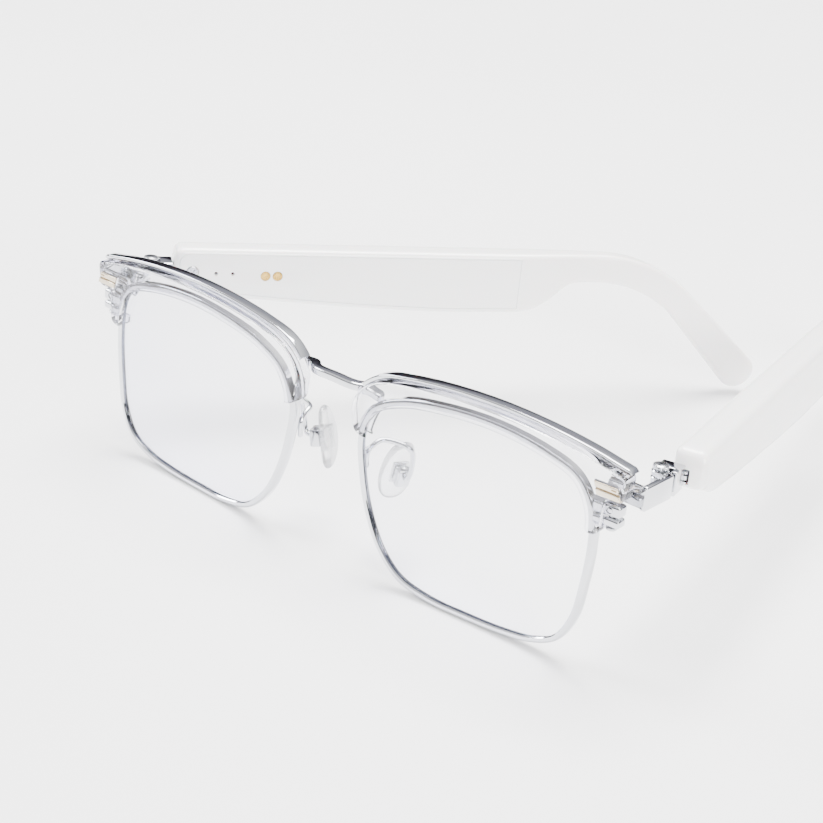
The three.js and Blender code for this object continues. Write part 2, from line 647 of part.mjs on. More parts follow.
function coverScrewGeometry() {
  const { y, z, head, shank } = COVER_SCREW;
  const face = TEMPLE.inside + 0.05;
  const cap = rodX(head, face, face + 0.45, y, z, 20);
  const thread = rodX(shank, face + 0.3, TEMPLE.inside + TEMPLE.thickness - WALL.floor - 0.8, y, z, 14);
  const cross = [0, Math.PI / 2].map((a) => block(-1, face + 0.3, -0.8, 0.8, -0.15, 0.15)
    .rotateX(a + Math.PI / 4).translate(0, y, z));
  return cut(join(cap, thread), ...cross);
}

function contactGeometry(y) {
  const face = TEMPLE.inside - 0.05;
  const button = rodX(CONTACTS.radius, face, TEMPLE.inside + WALL.cover + 0.1, y, CONTACTS.z, 20);
  const back = TEMPLE.inside + WALL.cover;
  const stem = rodX(CONTACTS.stem, back, back + 0.5, y, CONTACTS.z, 12);
  return join(button, stem);
}

// Depths inside the temple, from the cover outwards.
const DEEP = TEMPLE.inside + WALL.cover;
const BODY_MID = TEMPLE.top - TEMPLE.height / 2;
const TEMPLE_BASE = TEMPLE.top - TEMPLE.height;

function boardGeometry() {
  const x = touchX() - GAP - BOARD.thickness;
  const y1 = BOARD.start + BOARD.length;
  const half = BOARD.height / 2;
  const card = block(x, x + BOARD.thickness, BOARD.start, y1, BOARD.mid - half, BOARD.mid + half);
  const chips = [[7.5, BOARD.height - 2.1], [18, BOARD.height - 1.6]].map(([from, size]) => block(
    x - 0.9, x + TINY, BOARD.start + from, BOARD.start + from + size,
    BOARD.mid - size / 2, BOARD.mid + size / 2));
  return join(card, ...chips);
}

function batteryGeometry() {
  const x = DEEP + 0.4;
  const shape = new THREE.Shape();
  const y0 = BATTERY.start;
  const y1 = y0 + BATTERY.length;
  const h = BATTERY.height / 2;
  shape.moveTo(y0, BODY_MID - h);
  shape.lineTo(y1, BODY_MID - h);
  shape.lineTo(y1, BODY_MID + h);
  shape.lineTo(y0, BODY_MID + h);
  return plateX(shape, x, x + BATTERY.thickness, 0.6, 2);
}

function speakerGeometry() {
  const x = DEEP + 0.5;
  const y0 = SPEAKER.start;
  const base = TEMPLE_BASE + WALL.shell + 1.4;
  const box = block(x, x + SPEAKER.thickness, y0, y0 + SPEAKER.length, base, base + SPEAKER.height);
  const mouth = block(
    x + 0.6, x + SPEAKER.thickness - 0.6, y0 + 1, y0 + SPEAKER.length - 1, base - 1, base + 0.5);
  return cut(box, mouth);
}

function microphoneGeometry() {
  const [first, last] = micCentres();
  const x = DEEP + 0.35;
  const bar = block(x, x + 1.1, first - 1.6, last + 1.6, MICS.z - 1.4, MICS.z + 1.4);
  return cut(bar, ...micCentres().map((y) => rodX(MICS.radius, x - 1, x + 0.6, y, MICS.z, 12)));
}

// The touch strip lies against the outer wall, and the board against the strip.
function touchX() {
  return TEMPLE.inside + TEMPLE.thickness - WALL.floor - GAP - TOUCH.thickness;
}

function touchGeometry() {
  const x = touchX();
  return block(x, x + TOUCH.thickness, TOUCH.start, TOUCH.start + TOUCH.length,
    BOARD.mid - TOUCH.height / 2, BOARD.mid + TOUCH.height / 2);
}

// -------------------------------------------------------------------- assembly
const glasses = new THREE.Group();
const SIDES = [['left', 1], ['right', -1]];

function add(parent, name, geometry, material, side = 1) {
  const mesh = new THREE.Mesh(side > 0 ? geometry : mirrored(geometry), material);
  mesh.name = name;
  parent.add(mesh);
  return mesh;
}

function groupAt(parent, side, [x, y, z], [rx, ry, rz] = [0, 0, 0]) {
  const group = new THREE.Group();
  group.position.set(side * x, y, z);
  group.rotation.set(rx, side * ry, side * rz);
  parent.add(group);
  return group;
}

// Wire from the rim's nasal side to the pad's box, given in the pad's own frame.
function armPoints() {
  const pad = new THREE.Matrix4().compose(
    new THREE.Vector3(PAD.x, PAD.y, PAD.z),
    new THREE.Quaternion().setFromEuler(padTurn()), new THREE.Vector3(1, 1, 1));
  const back = new THREE.Vector3(PAD_AXIS + 2.2, 0, 0.8).applyMatrix4(pad);
  const rim = LENS.bridge / 2 - 0.1;
  const y = RIM.depth / 2 - EDGE * Math.sin(FRONT.wrap) + GAP + ARM.wire + 0.1;
  const foot = PAD.z + 3.4;
  const world = [
    [rim, y, foot], [rim, y, foot + ARM.foot * 0.7], [rim + 0.2, y + 1.2, foot + ARM.foot],
    [rim + 0.9, y + 3.6, foot + ARM.foot + 0.8], [back.x + 1.0, back.y - 0.9, foot + ARM.foot - 0.7],
    [back.x + 0.9, back.y, back.z + 2.6], [back.x, back.y, back.z],
  ];
  const inverse = pad.clone().invert();
  const inPad = world.map((p) => new THREE.Vector3(...p).applyMatrix4(inverse).toArray());
  return [...inPad, [PAD_AXIS + 1.05, 0, 0.4]];
}

function padTurn() {
  return new THREE.Euler(0, PAD.flare, -PAD.splay);
}

function buildFront(front) {
  const lensZ = LENS.height / 2 + RIM_OUT;
  const lensX = LENS.bridge / 2 + EDGE;
  add(front, 'bridge', bridgeGeometry(), MATERIAL.chrome);
  for (const [name, side] of SIDES) {
    const half = groupAt(front, side, [lensX, 0, lensZ], [0, 0, FRONT.wrap]);
    add(half, `rim_${name}`, rimGeometry(), MATERIAL.chrome, side);
    add(half, `rim_lock_screw_${name}`, lockScrewGeometry(), MATERIAL.steel, side);
    add(half, `lens_${name}`, lensGeometry(), MATERIAL.lens, side);
    add(half, `brow_${name}`, browGeometry(), MATERIAL.acetate, side);
    add(half, `brow_trim_${name}`, trimGeometry(), MATERIAL.chrome, side);
    add(half, `brow_rivet_${name}`, rivetGeometry(), MATERIAL.rivet, side);
    const turn = padTurn();
    const pad = groupAt(front, side, [PAD.x, PAD.y, PAD.z], [turn.x, turn.y, turn.z]);
    add(pad, `pad_arm_${name}`, padArmGeometry(armPoints()), MATERIAL.chrome, side);
    add(pad, `pad_screw_${name}`, padScrewGeometry(), MATERIAL.steel, side);
    add(pad, `pad_mount_${name}`, padMountGeometry(), MATERIAL.steel, side);
    add(pad, `nose_pad_${name}`, padGeometry(), MATERIAL.silicone, side);
  }
}

function buildTemple(pivot, name, side) {
  const temple = groupAt(pivot, side, [0, 0, 0], [0, 0, SPLAY[name]]);
  add(temple, `temple_hinge_${name}`, templeHingeGeometry(), MATERIAL.chrome, side);
  add(temple, `temple_shell_${name}`, shellGeometry(), MATERIAL.white, side);
  add(temple, `temple_cover_${name}`, coverGeometry(), MATERIAL.white, side);
  add(temple, `cover_screw_${name}`, coverScrewGeometry(), MATERIAL.steel, side);
  contactCentres().forEach((y, i) => add(
    temple, `charge_contact_${i === 0 ? 'front' : 'rear'}_${name}`, contactGeometry(y), MATERIAL.gold, side));
  add(temple, `circuit_board_${name}`, boardGeometry(), MATERIAL.board, side);
  add(temple, `battery_${name}`, batteryGeometry(), MATERIAL.cell, side);
  add(temple, `speaker_${name}`, speakerGeometry(), MATERIAL.black, side);
  add(temple, `microphone_${name}`, microphoneGeometry(), MATERIAL.black, side);
  add(temple, `touch_sensor_${name}`, touchGeometry(), MATERIAL.amber, side);
}

// Height of a temple's lowest point when the hinge tilts it down by an angle.
function tipHeightAt(droop) {
  const outline = templeShape().getPoints(6);
  const splay = Math.cos(Math.min(SPLAY.left, SPLAY.right));
  return Math.min(...outline.map(
    (p) => HINGE.z + p.y * Math.cos(droop) - p.x * splay * Math.sin(droop)));
}

// The tilt that brings the temple tips down to the level of the rims.
function restingDroop() {
  let low = 0;
  let high = 25 * DEG;
  for (let i = 0; i < 40; i += 1) {
    const mid = (low + high) / 2;
    if (tipHeightAt(mid) > 0) low = mid;
    else high = mid;
  }
  return low;
}

const front = new THREE.Group();
front.rotation.set(-FRONT.lean, 0, 0);
glasses.add(front);
buildFront(front);
const DROOP = restingDroop();
for (const [name, side] of SIDES) {
  const pivot = groupAt(glasses, side, [HINGE.x, HINGE.y, HINGE.z], [-DROOP, 0, 0]);
  pivot.name = `hinge_${name}`;
  add(pivot, `endpiece_${name}`, endpieceGeometry(), MATERIAL.chrome, side);
  add(pivot, `hinge_screw_${name}`, hingeScrewGeometry(), MATERIAL.steel, side);
  buildTemple(pivot, name, side);
}

// Origin at the middle of the footprint, on the surface the glasses stand on.
glasses.updateMatrixWorld(true);
const box = new THREE.Box3().setFromObject(glasses, true);
const centre = box.getCenter(new THREE.Vector3());
for (const child of glasses.children) {
  child.position.x -= centre.x;
  child.position.y -= centre.y;
  child.position.z -= box.min.z;
}
glasses.updateMatrixWorld(true);

export default glasses;
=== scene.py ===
"""Browline smart glasses: the finished surfaces and materials around the engineering frame."""

import json
import logging
import math
from dataclasses import dataclass, field
from enum import Enum
from typing import Callable, Iterable, Sequence

import bmesh
import bpy
from mathutils import Euler, Matrix, Vector

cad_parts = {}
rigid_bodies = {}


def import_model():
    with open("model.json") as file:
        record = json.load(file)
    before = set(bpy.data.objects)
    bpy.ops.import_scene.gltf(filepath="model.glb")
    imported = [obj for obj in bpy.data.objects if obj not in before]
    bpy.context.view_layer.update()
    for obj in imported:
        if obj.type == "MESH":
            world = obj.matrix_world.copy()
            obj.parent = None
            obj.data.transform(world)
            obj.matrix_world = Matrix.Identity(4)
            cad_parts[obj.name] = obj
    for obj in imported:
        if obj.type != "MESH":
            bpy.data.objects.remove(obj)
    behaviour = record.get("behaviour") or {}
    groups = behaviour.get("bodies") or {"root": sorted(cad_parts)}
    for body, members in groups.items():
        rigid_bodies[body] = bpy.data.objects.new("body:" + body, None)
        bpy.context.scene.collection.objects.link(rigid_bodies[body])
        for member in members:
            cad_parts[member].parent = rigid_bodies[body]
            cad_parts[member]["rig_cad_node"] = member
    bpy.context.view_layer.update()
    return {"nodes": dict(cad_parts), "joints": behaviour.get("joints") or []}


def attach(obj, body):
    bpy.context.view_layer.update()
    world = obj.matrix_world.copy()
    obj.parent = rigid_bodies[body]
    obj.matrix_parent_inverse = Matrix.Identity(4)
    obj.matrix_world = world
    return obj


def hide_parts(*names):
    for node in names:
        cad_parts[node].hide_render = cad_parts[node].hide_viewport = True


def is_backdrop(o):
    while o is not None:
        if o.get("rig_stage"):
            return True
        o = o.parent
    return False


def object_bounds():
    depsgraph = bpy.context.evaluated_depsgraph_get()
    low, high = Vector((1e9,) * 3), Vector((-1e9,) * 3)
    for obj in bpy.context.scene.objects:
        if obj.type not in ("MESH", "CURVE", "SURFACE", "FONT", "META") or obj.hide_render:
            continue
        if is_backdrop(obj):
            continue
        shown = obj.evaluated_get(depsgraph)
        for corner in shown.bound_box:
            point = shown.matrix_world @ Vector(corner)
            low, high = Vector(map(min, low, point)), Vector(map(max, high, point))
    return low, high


LOG = logging.getLogger("glasses")
MM = 0.001
SMOOTH_ANGLE = math.radians(38)
WELD_DISTANCE = 2e-4
SHORTEST_EDGE = 1e-5
CURVE_STEPS = 24
BUMP_DISTANCE = 0.0001
SCATTER_DEPTH = 0.002
SHADOW_TINT = (0.30, 0.29, 0.26)
# Span of the facing weight over which the painted edge shade fades in.
PAINTED_EDGE_SHADE_FADE = (0.25, 0.85)
NOISE_SPAN = (0.3, 0.7)
LIGHT_AIM = Vector((0, 0, 0.02))
Point2 = tuple[float, float]
Point3 = tuple[float, float, float]
Piece = bpy.types.Object
Tree = bpy.types.ShaderNodeTree
Node = bpy.types.Node
Socket = bpy.types.NodeSocket
QUARTERS = ((1, 1, 0), (-1, 1, 90), (-1, -1, 180), (1, -1, 270))


class Axis(Enum):
    """Axis that a plate's thickness or a turned piece's length lies along."""

    X = (1, 0, 0)
    Y = (0, 1, 0)
    Z = (0, 0, 1)

    @property
    def vector(self) -> Vector:
        """Unit vector along the axis."""
        return Vector(self.value)


class Operation(Enum):
    """What a boolean does with its tools."""

    UNION = "UNION"
    DIFFERENCE = "DIFFERENCE"


class Detail(Enum):
    """Fine detail that a finish may have; the value names its node group."""

    HANDLING = "handling"
    BRUSHING = "brushing"
    MOTTLING = "mottling"


# Turns that lay a drawing's thickness, or a turned piece's length, along an axis.
LAY = {
    Axis.Y: Matrix(((1, 0, 0, 0), (0, 0, 1, 0), (0, 1, 0, 0), (0, 0, 0, 1))),
    Axis.X: Matrix(((0, 0, 1, 0), (1, 0, 0, 0), (0, 1, 0, 0), (0, 0, 0, 1))),
    Axis.Z: Matrix.Identity(4),
}
AIMS = {Axis.Z: (0, 0, 0), Axis.X: (0, math.pi / 2, 0), Axis.Y: (-math.pi / 2, 0, 0)}


class Side(Enum):
    """The wearer's side that a mirrored piece belongs to; the value is the sign of its X."""

    LEFT = 1
    RIGHT = -1

    @property
    def label(self) -> str:
        """Ending of the names of this side's pieces."""
        return self.name.lower()

    @property
    def mirror(self) -> Matrix:
        """Mirror that turns a left-hand piece into this side's piece."""
        return Matrix.Diagonal((self.value, 1, 1, 1))


# ------------------------------------------------------------------ curves and outlines
class Outline:
    """A flat outline drawn with straight, curved and round stretches, in millimetres."""

    def __init__(self, start: Point2) -> None:
        """Starts the outline.

        Args:
            start: First point.
        """
        self.points: list[Point2] = [start]

    def line(self, *ends: Point2) -> "Outline":
        """Adds straight stretches to each of the points and returns the outline."""
        self.points.extend(ends)
        return self

    def steps(self, end: Point2, count: int) -> "Outline":
        """Adds a straight stretch in even steps and returns the outline.

        Args:
            end: Last point.
            count: Number of steps.

        Returns:
            The outline.
        """
        a = self.points[-1]
        return self.line(*((a[0] + (end[0] - a[0]) * k / count, a[1] + (end[1] - a[1]) * k / count)
                           for k in range(1, count + 1)))

    def quad(self, control: Point2, end: Point2, steps: int = 10) -> "Outline":
        """Adds a quadratic curve.

        Args:
            control: Control point.
            end: Last point.
            steps: Number of straight pieces.

        Returns:
            The outline.
        """
        a = self.points[-1]
        for i in range(1, steps + 1):
            t = i / steps
            self.points.append(tuple(
                (1 - t) ** 2 * a[k] + 2 * t * (1 - t) * control[k] + t * t * end[k] for k in (0, 1)))
        return self

    def cubic(self, first: Point2, second: Point2, end: Point2, steps: int = 16) -> "Outline":
        """Adds a cubic curve.

        Args:
            first: First control point.
            second: Second control point.
            end: Last point.
            steps: Number of straight pieces.

        Returns:
            The outline.
        """
        a = self.points[-1]
        for i in range(1, steps + 1):
            t = i / steps
            w = ((1 - t) ** 3, 3 * t * (1 - t) ** 2, 3 * t * t * (1 - t), t ** 3)
            self.points.append(tuple(
                w[0] * a[k] + w[1] * first[k] + w[2] * second[k] + w[3] * end[k] for k in (0, 1)))
        return self


def spline(points: Sequence[Sequence[float]], samples: int, closed: bool = False) -> list[Vector]:
    """Centripetal Catmull-Rom curve through points, at even spacing.

    Args:
        points: Points of two or three numbers.
        samples: Number of points to return.
        closed: True for a loop, whose last point isn't repeated.

    Returns:
        The points along the curve.
    """
    p = [Vector((*q, 0.0)) if len(q) == 2 else Vector(q) for q in points]
    n = len(p)
    dense: list[Vector] = []
    for i in range(n if closed else n - 1):
        b, c = p[i], p[(i + 1) % n]
        a = p[i - 1] if closed or i > 0 else 2 * b - c
        d = p[(i + 2) % n] if closed or i + 2 < n else 2 * c - b
        gaps = [max((v - u).length, 1e-6) ** 0.5 for u, v in ((a, b), (b, c), (c, d))]
        m1 = ((b - a) / gaps[0] - (c - a) / (gaps[0] + gaps[1]) + (c - b) / gaps[1]) * gaps[1]
        m2 = ((c - b) / gaps[1] - (d - b) / (gaps[1] + gaps[2]) + (d - c) / gaps[2]) * gaps[1]
        for k in range(CURVE_STEPS):
            t = k / CURVE_STEPS
            dense.append(
                b * (2 * t ** 3 - 3 * t * t + 1) + m1 * (t ** 3 - 2 * t * t + t)
                + c * (3 * t * t - 2 * t ** 3) + m2 * (t ** 3 - t * t))
    dense.append(p[0].copy() if closed else p[-1].copy())
    return evenly(dense, samples, closed)


def evenly(points: Sequence[Vector], samples: int, closed: bool = False) -> list[Vector]:
    """Points at even spacing along a run of points; a closed run drops its repeated end.

    Args:
        points: Points along the run.
        samples: Number of points to return.
        closed: True for a loop.

    Returns:
        The points.
    """
    lengths = [0.0]
    for a, b in zip(points, points[1:]):
        lengths.append(lengths[-1] + (b - a).length)
    count = samples if closed else samples - 1
    out: list[Vector] = []
    j = 0
    for i in range(samples):
        want = lengths[-1] * i / count
        while j < len(points) - 2 and lengths[j + 1] < want:
            j += 1
        span = max(lengths[j + 1] - lengths[j], 1e-9)
        out.append(points[j].lerp(points[j + 1], min(max((want - lengths[j]) / span, 0), 1)))
    return out


# ------------------------------------------------------------------------ mesh building
def new_object(name: str, mesh: bpy.types.Mesh) -> Piece:
    """Links a mesh to the scene as an object.

    Args:
        name: Object name.
        mesh: Mesh that it shows.

    Returns:
        The new object.
    """
    obj = bpy.data.objects.new(name, mesh)
    bpy.context.scene.collection.objects.link(obj)
    return obj


def mesh_from(name: str, vertices: Iterable[Sequence[float]],
              faces: Iterable[Sequence[int]]) -> Piece:
    """Object from vertices and faces, welded, with its normals facing out.

    Args:
        name: Object name.
        vertices: Places of the vertices.
        faces: Vertex numbers of each face.

    Returns:
        The new object.
    """
    mesh = bpy.data.meshes.new(name)
    mesh.from_pydata([tuple(v) for v in vertices], [], [tuple(f) for f in faces])
    obj = new_object(name, mesh)
    weld(obj)
    return obj


def weld(obj: Piece) -> None:
    """Merges coincident vertices and turns all faces outwards.

    Args:
        obj: Object whose mesh is cleaned.
    """
    bm = bmesh.new()
    bm.from_mesh(obj.data)
    bmesh.ops.remove_doubles(bm, verts=bm.verts, dist=WELD_DISTANCE)
    bmesh.ops.dissolve_degenerate(bm, dist=SHORTEST_EDGE, edges=bm.edges)
    bmesh.ops.recalc_face_normals(bm, faces=bm.faces)
    bm.to_mesh(obj.data)
    bm.free()


def loft(name: str, rings: Sequence[Sequence[Vector]], closed: bool = False) -> Piece:
    """Skin over rings of equal length; an open run gets a cap at each end.

    Args:
        name: Object name.
        rings: Rings of points, each a closed loop.
        closed: True when the last ring joins the first.

    Returns:
        The new object, in millimetres.
    """
    n = len(rings[0])
    vertices = [v for ring in rings for v in ring]
    faces: list[Sequence[int]] = []
    for r in range(len(rings) if closed else len(rings) - 1):
        a, b = r * n, ((r + 1) % len(rings)) * n
        faces.extend((a + i, a + (i + 1) % n, b + (i + 1) % n, b + i) for i in range(n))
    if not closed:
        faces.append(tuple(range(n)))
        faces.append(tuple((len(rings) - 1) * n + i for i in range(n)))
    return mesh_from(name, vertices, faces)


def plate(name: str, outline: Sequence[Point2], low: float, high: float, bevel: float = 0.0,
          rounds: int = 3, along: Axis = Axis.Y) -> Piece:
    """Flat outline made thick, with rounded edges.

    Args:
        name: Object name.
        outline: Points in the XZ plane (along Y), the YZ plane (along X) or the XY plane (along Z).
        low: Lower face along the thickness.
        high: Higher face along the thickness.
        bevel: Radius of the rounded edges.
        rounds: Segments of that rounding.
        along: Axis of the thickness.

    Returns:
        The new object, in millimetres.
    """
    curve = bpy.data.curves.new(name, "CURVE")
    curve.dimensions = "2D"
    curve.fill_mode = "BOTH"
    half = (high - low) / 2
    curve.extrude = half - bevel
    curve.bevel_depth = bevel
    curve.bevel_resolution = rounds
    curve.offset = -bevel
    run = curve.splines.new("POLY")
    run.points.add(len(outline) - 1)
    for point, q in zip(run.points, outline):
        point.co = (q[0], q[1], 0, 1)
    run.use_cyclic_u = True
    temp = bpy.data.objects.new(name, curve)
    bpy.context.scene.collection.objects.link(temp)
    bpy.context.view_layer.update()
    mesh = bpy.data.meshes.new_from_object(temp.evaluated_get(bpy.context.evaluated_depsgraph_get()))
    bpy.data.objects.remove(temp)
    bpy.data.curves.remove(curve)
    mesh.transform(Matrix.Translation(along.vector * (low + high) / 2) @ LAY[along])
    obj = new_object(name, mesh)
    weld(obj)
    return obj


def block(name: str, low: Sequence[float], high: Sequence[float], bevel: float = 0.0,
          rounds: int = 3) -> Piece:
    """Box between two corners with rounded edges, in millimetres.

    Args:
        name: Object name.
        low: Lowest corner.
        high: Highest corner.
        bevel: Radius of the rounded edges.
        rounds: Segments of that rounding.

    Returns:
        The new object.
    """
    bm = bmesh.new()
    bmesh.ops.create_cube(bm, size=1)
    size = [h - l for l, h in zip(low, high)]
    centre = [(h + l) / 2 for l, h in zip(low, high)]
    bmesh.ops.transform(bm, matrix=Matrix.Translation(centre) @ Matrix.Diagonal((*size, 1)), verts=bm.verts)
    if bevel:
        bmesh.ops.bevel(bm, geom=bm.edges[:], offset=bevel, segments=rounds, profile=0.5, affect="EDGES")
    mesh = bpy.data.meshes.new(name)
    bm.to_mesh(mesh)
    bm.free()
    return new_object(name, mesh)


def lathe(name: str, profile: Sequence[Point2], sides: int = 40, along: Axis = Axis.Z,
          centre: Sequence[float] = (0, 0, 0)) -> Piece:
    """Turned piece from a profile of (radius, height) points that starts and ends on the axis.

    Args:
        name: Object name.
        profile: Radius and height of each ring.
        sides: Points round a ring.
        along: Axis of the piece.
        centre: Origin of the profile.

    Returns:
        The new object.
    """
    turns = [2 * math.pi * i / sides for i in range(sides)]
    rings = [[Vector((r * math.cos(a), r * math.sin(a), h)) for a in turns] for r, h in profile]
    obj = loft(name, rings)
    obj.data.transform(Matrix.Translation(centre) @ Euler(AIMS[along]).to_matrix().to_4x4())
    return obj


def rod(name: str, radius: float, low: float, high: float, along: Axis = Axis.Z,
        centre: Sequence[float] = (0, 0, 0), chamfer: float = 0.0, sides: int = 40) -> Piece:
    """Round rod with chamfered ends.

    Args:
        name: Object name.
        radius: Radius of the rod.
        low: Lower end along its axis.
        high: Higher end along its axis.
        along: Axis of the rod.
        centre: Origin of the axis.
        chamfer: Size of the chamfers.
        sides: Points round a ring.

    Returns:
        The new object.
    """
    c = chamfer
    profile = [(0, low), (radius - c, low), (radius, low + c),
               (radius, high - c), (radius - c, high), (0, high)]
    return lathe(name, profile, sides, along, centre)


def sweep(name: str, path: Sequence[Vector],
          section: Callable[[float], Sequence[Point2]]) -> Piece:
    """Section carried along a path and kept upright.

    Args:
        name: Object name.
        path: Points of the path.
        section: Section outline (sideways, up) for a share of the path from 0 to 1.

    Returns:
        The new object, in millimetres.
    """
    rings = []
    last = len(path) - 1
    for i, p in enumerate(path):
        along = (path[min(i + 1, last)] - path[max(i - 1, 0)]).normalized()
        across = along.cross(Axis.Z.vector).normalized()
        above = across.cross(along).normalized()
        rings.append([p + across * a + above * b for a, b in section(i / last)])
    return loft(name, rings)


def wire(name: str, path: Sequence[Vector], radius: float, sides: int = 20) -> Piece:
    """Round wire with domed ends, its section carried along without twist.

    Args:
        name: Object name.
        path: Points of the middle line.
        radius: Radius of the wire.
        sides: Points round a ring.

    Returns:
        The new object.
    """
    last = len(path) - 1
    tangents = [(path[min(i + 1, last)] - path[max(i - 1, 0)]).normalized() for i in range(last + 1)]
    across = tangents[0].orthogonal().normalized()
    rings = []
    for i, (p, t) in enumerate(zip(path, tangents)):
        across = (across - t * across.dot(t)).normalized()
        other = t.cross(across)
        ends = [(0.35, -0.9), (0.75, -0.6)] if i == 0 else []
        tails = [(0.75, 0.6), (0.35, 0.9)] if i == last else []
        for scale, move in [*ends, (1.0, 0.0), *tails]:
            turns = (2 * math.pi * k / sides for k in range(sides))
            rings.append([p + t * move * radius
                          + (across * math.cos(a) + other * math.sin(a)) * radius * scale for a in turns])
    return loft(name, rings)


def pillow(name: str, outline: Sequence[Point2], front: Callable[[float], float],
           back: Callable[[float], float], shares: Sequence[float], along: Axis = Axis.Y) -> Piece:
    """Body with two curved faces that meet at an outline.

    Args:
        name: Object name.
        outline: Rim of the body.
        front: Depth of the front face at a share of the way out from the middle.
        back: Depth of the back face at that share.
        shares: Shares from 1 at the outline down to near 0 at the middle.
        along: Axis of the depth.

    Returns:
        The new object, in millimetres.
    """
    cx = sum(p[0] for p in outline) / len(outline)
    cz = sum(p[1] for p in outline) / len(outline)

    def place(a: float, b: float, depth: float) -> Vector:
        """Point at two outline coordinates and a depth."""
        return Vector((a, depth, b)) if along is Axis.Y else Vector((depth, a, b))

    def ring(share: float, depth: float) -> list[Vector]:
        """Outline shrunk towards its middle."""
        return [place(cx + (a - cx) * share, cz + (b - cz) * share, depth) for a, b in outline]

    rings = [ring(s, front(s)) for s in reversed(shares)]
    rings += [ring(s, back(s)) for s in shares]
    return loft(name, rings)


def combine(base: Piece, tools: Sequence[Piece], operation: Operation) -> Piece:
    """Applies exact booleans and removes the tools.

    Args:
        base: Object that is changed.
        tools: Objects that join it or cut it.
        operation: What the tools do to it.

    Returns:
        The base object.
    """
    for tool in tools:
        modifier = base.modifiers.new("combine", "BOOLEAN")
        modifier.operation = operation.value
        modifier.solver = "EXACT"
        modifier.object = tool
    bpy.context.view_layer.update()
    mesh = bpy.data.meshes.new_from_object(base.evaluated_get(bpy.context.evaluated_depsgraph_get()))
    base.modifiers.clear()
    base.data = mesh
    for tool in tools:
        bpy.data.objects.remove(tool)
    return base


def cut(base: Piece, *tools: Piece) -> Piece:
    """Cuts the tools out of an object."""
    return combine(base, tools, Operation.DIFFERENCE)


def unite(base: Piece, *tools: Piece) -> Piece:
    """Joins the tools into one body with an object."""
    return combine(base, tools, Operation.UNION)


def warp(obj: Piece, move: Callable[[Vector], Vector]) -> Piece:
    """Moves each vertex by a function.

    Args:
        obj: Object that is bent.
        move: Function from an old place to a new one.

    Returns:
        The object.
    """
    for v in obj.data.vertices:
        v.co = move(v.co.copy())
    return obj


def rounded(width: float, height: float, radii: Sequence[float], steps: int) -> list[Point2]:
    """Rectangle about the origin with a radius for each corner, anticlockwise from the upper right.

    Args:
        width: Size from left to right.
        height: Size from bottom to top.
        radii: Radius of each corner.
        steps: Segments of each corner.

    Returns:
        Points of the outline.
    """
    points: list[Point2] = []
    for (sx, sy, start), radius in zip(QUARTERS, radii):
        for i in range(steps + 1):
            a = math.radians(start + 90 * i / steps)
            points.append((sx * (width / 2 - radius) + radius * math.cos(a),
                           sy * (height / 2 - radius) + radius * math.sin(a)))
    return points


# ---------------------------------------------------------------------- shader building
def preset(node: Node, values: dict[str, object]) -> Node:
    """Sets a node's inputs by name and returns the node.

    Args:
        node: Node that is set.
        values: Value of each named input.

    Returns:
        The node.
    """
    for label, value in values.items():
        node.inputs[label].default_value = value
    return node


def link(tree: Tree, source: Node, output: str, target: Node, entry: str | int) -> None:
    """Links an output of one node to an input of another."""
    tree.links.new(source.outputs[output], target.inputs[entry])


def color_mix(tree: Tree, second: Point3) -> Node:
    """Adds a node that mixes a colour with a second one.

    Args:
        tree: Tree that gets the node.
        second: Second colour.

    Returns:
        The new node.
    """
    mix = tree.nodes.new("ShaderNodeMix")
    mix.data_type = "RGBA"
    return preset(mix, {"B": (*second, 1)})


@dataclass(frozen=True)
class Effect:
    """A shader node group that several finishes share."""

    name: str
    inputs: tuple[tuple[str, float], ...]
    outputs: tuple[str, ...]

    def tree(self) -> tuple[Tree, Node, Node]:
        """The group's tree with its sockets, and its input and output nodes.

        Returns:
            The tree, its input node and its output node.
        """
        tree = bpy.data.node_groups.new(self.name, "ShaderNodeTree")
        for label, value in self.inputs:
            socket = tree.interface.new_socket(name=label, in_out="INPUT", socket_type="NodeSocketFloat")
            socket.default_value = value
        for label in self.outputs:
            tree.interface.new_socket(name=label, in_out="OUTPUT", socket_type="NodeSocketFloat")
        return tree, tree.nodes.new("NodeGroupInput"), tree.nodes.new("NodeGroupOutput")


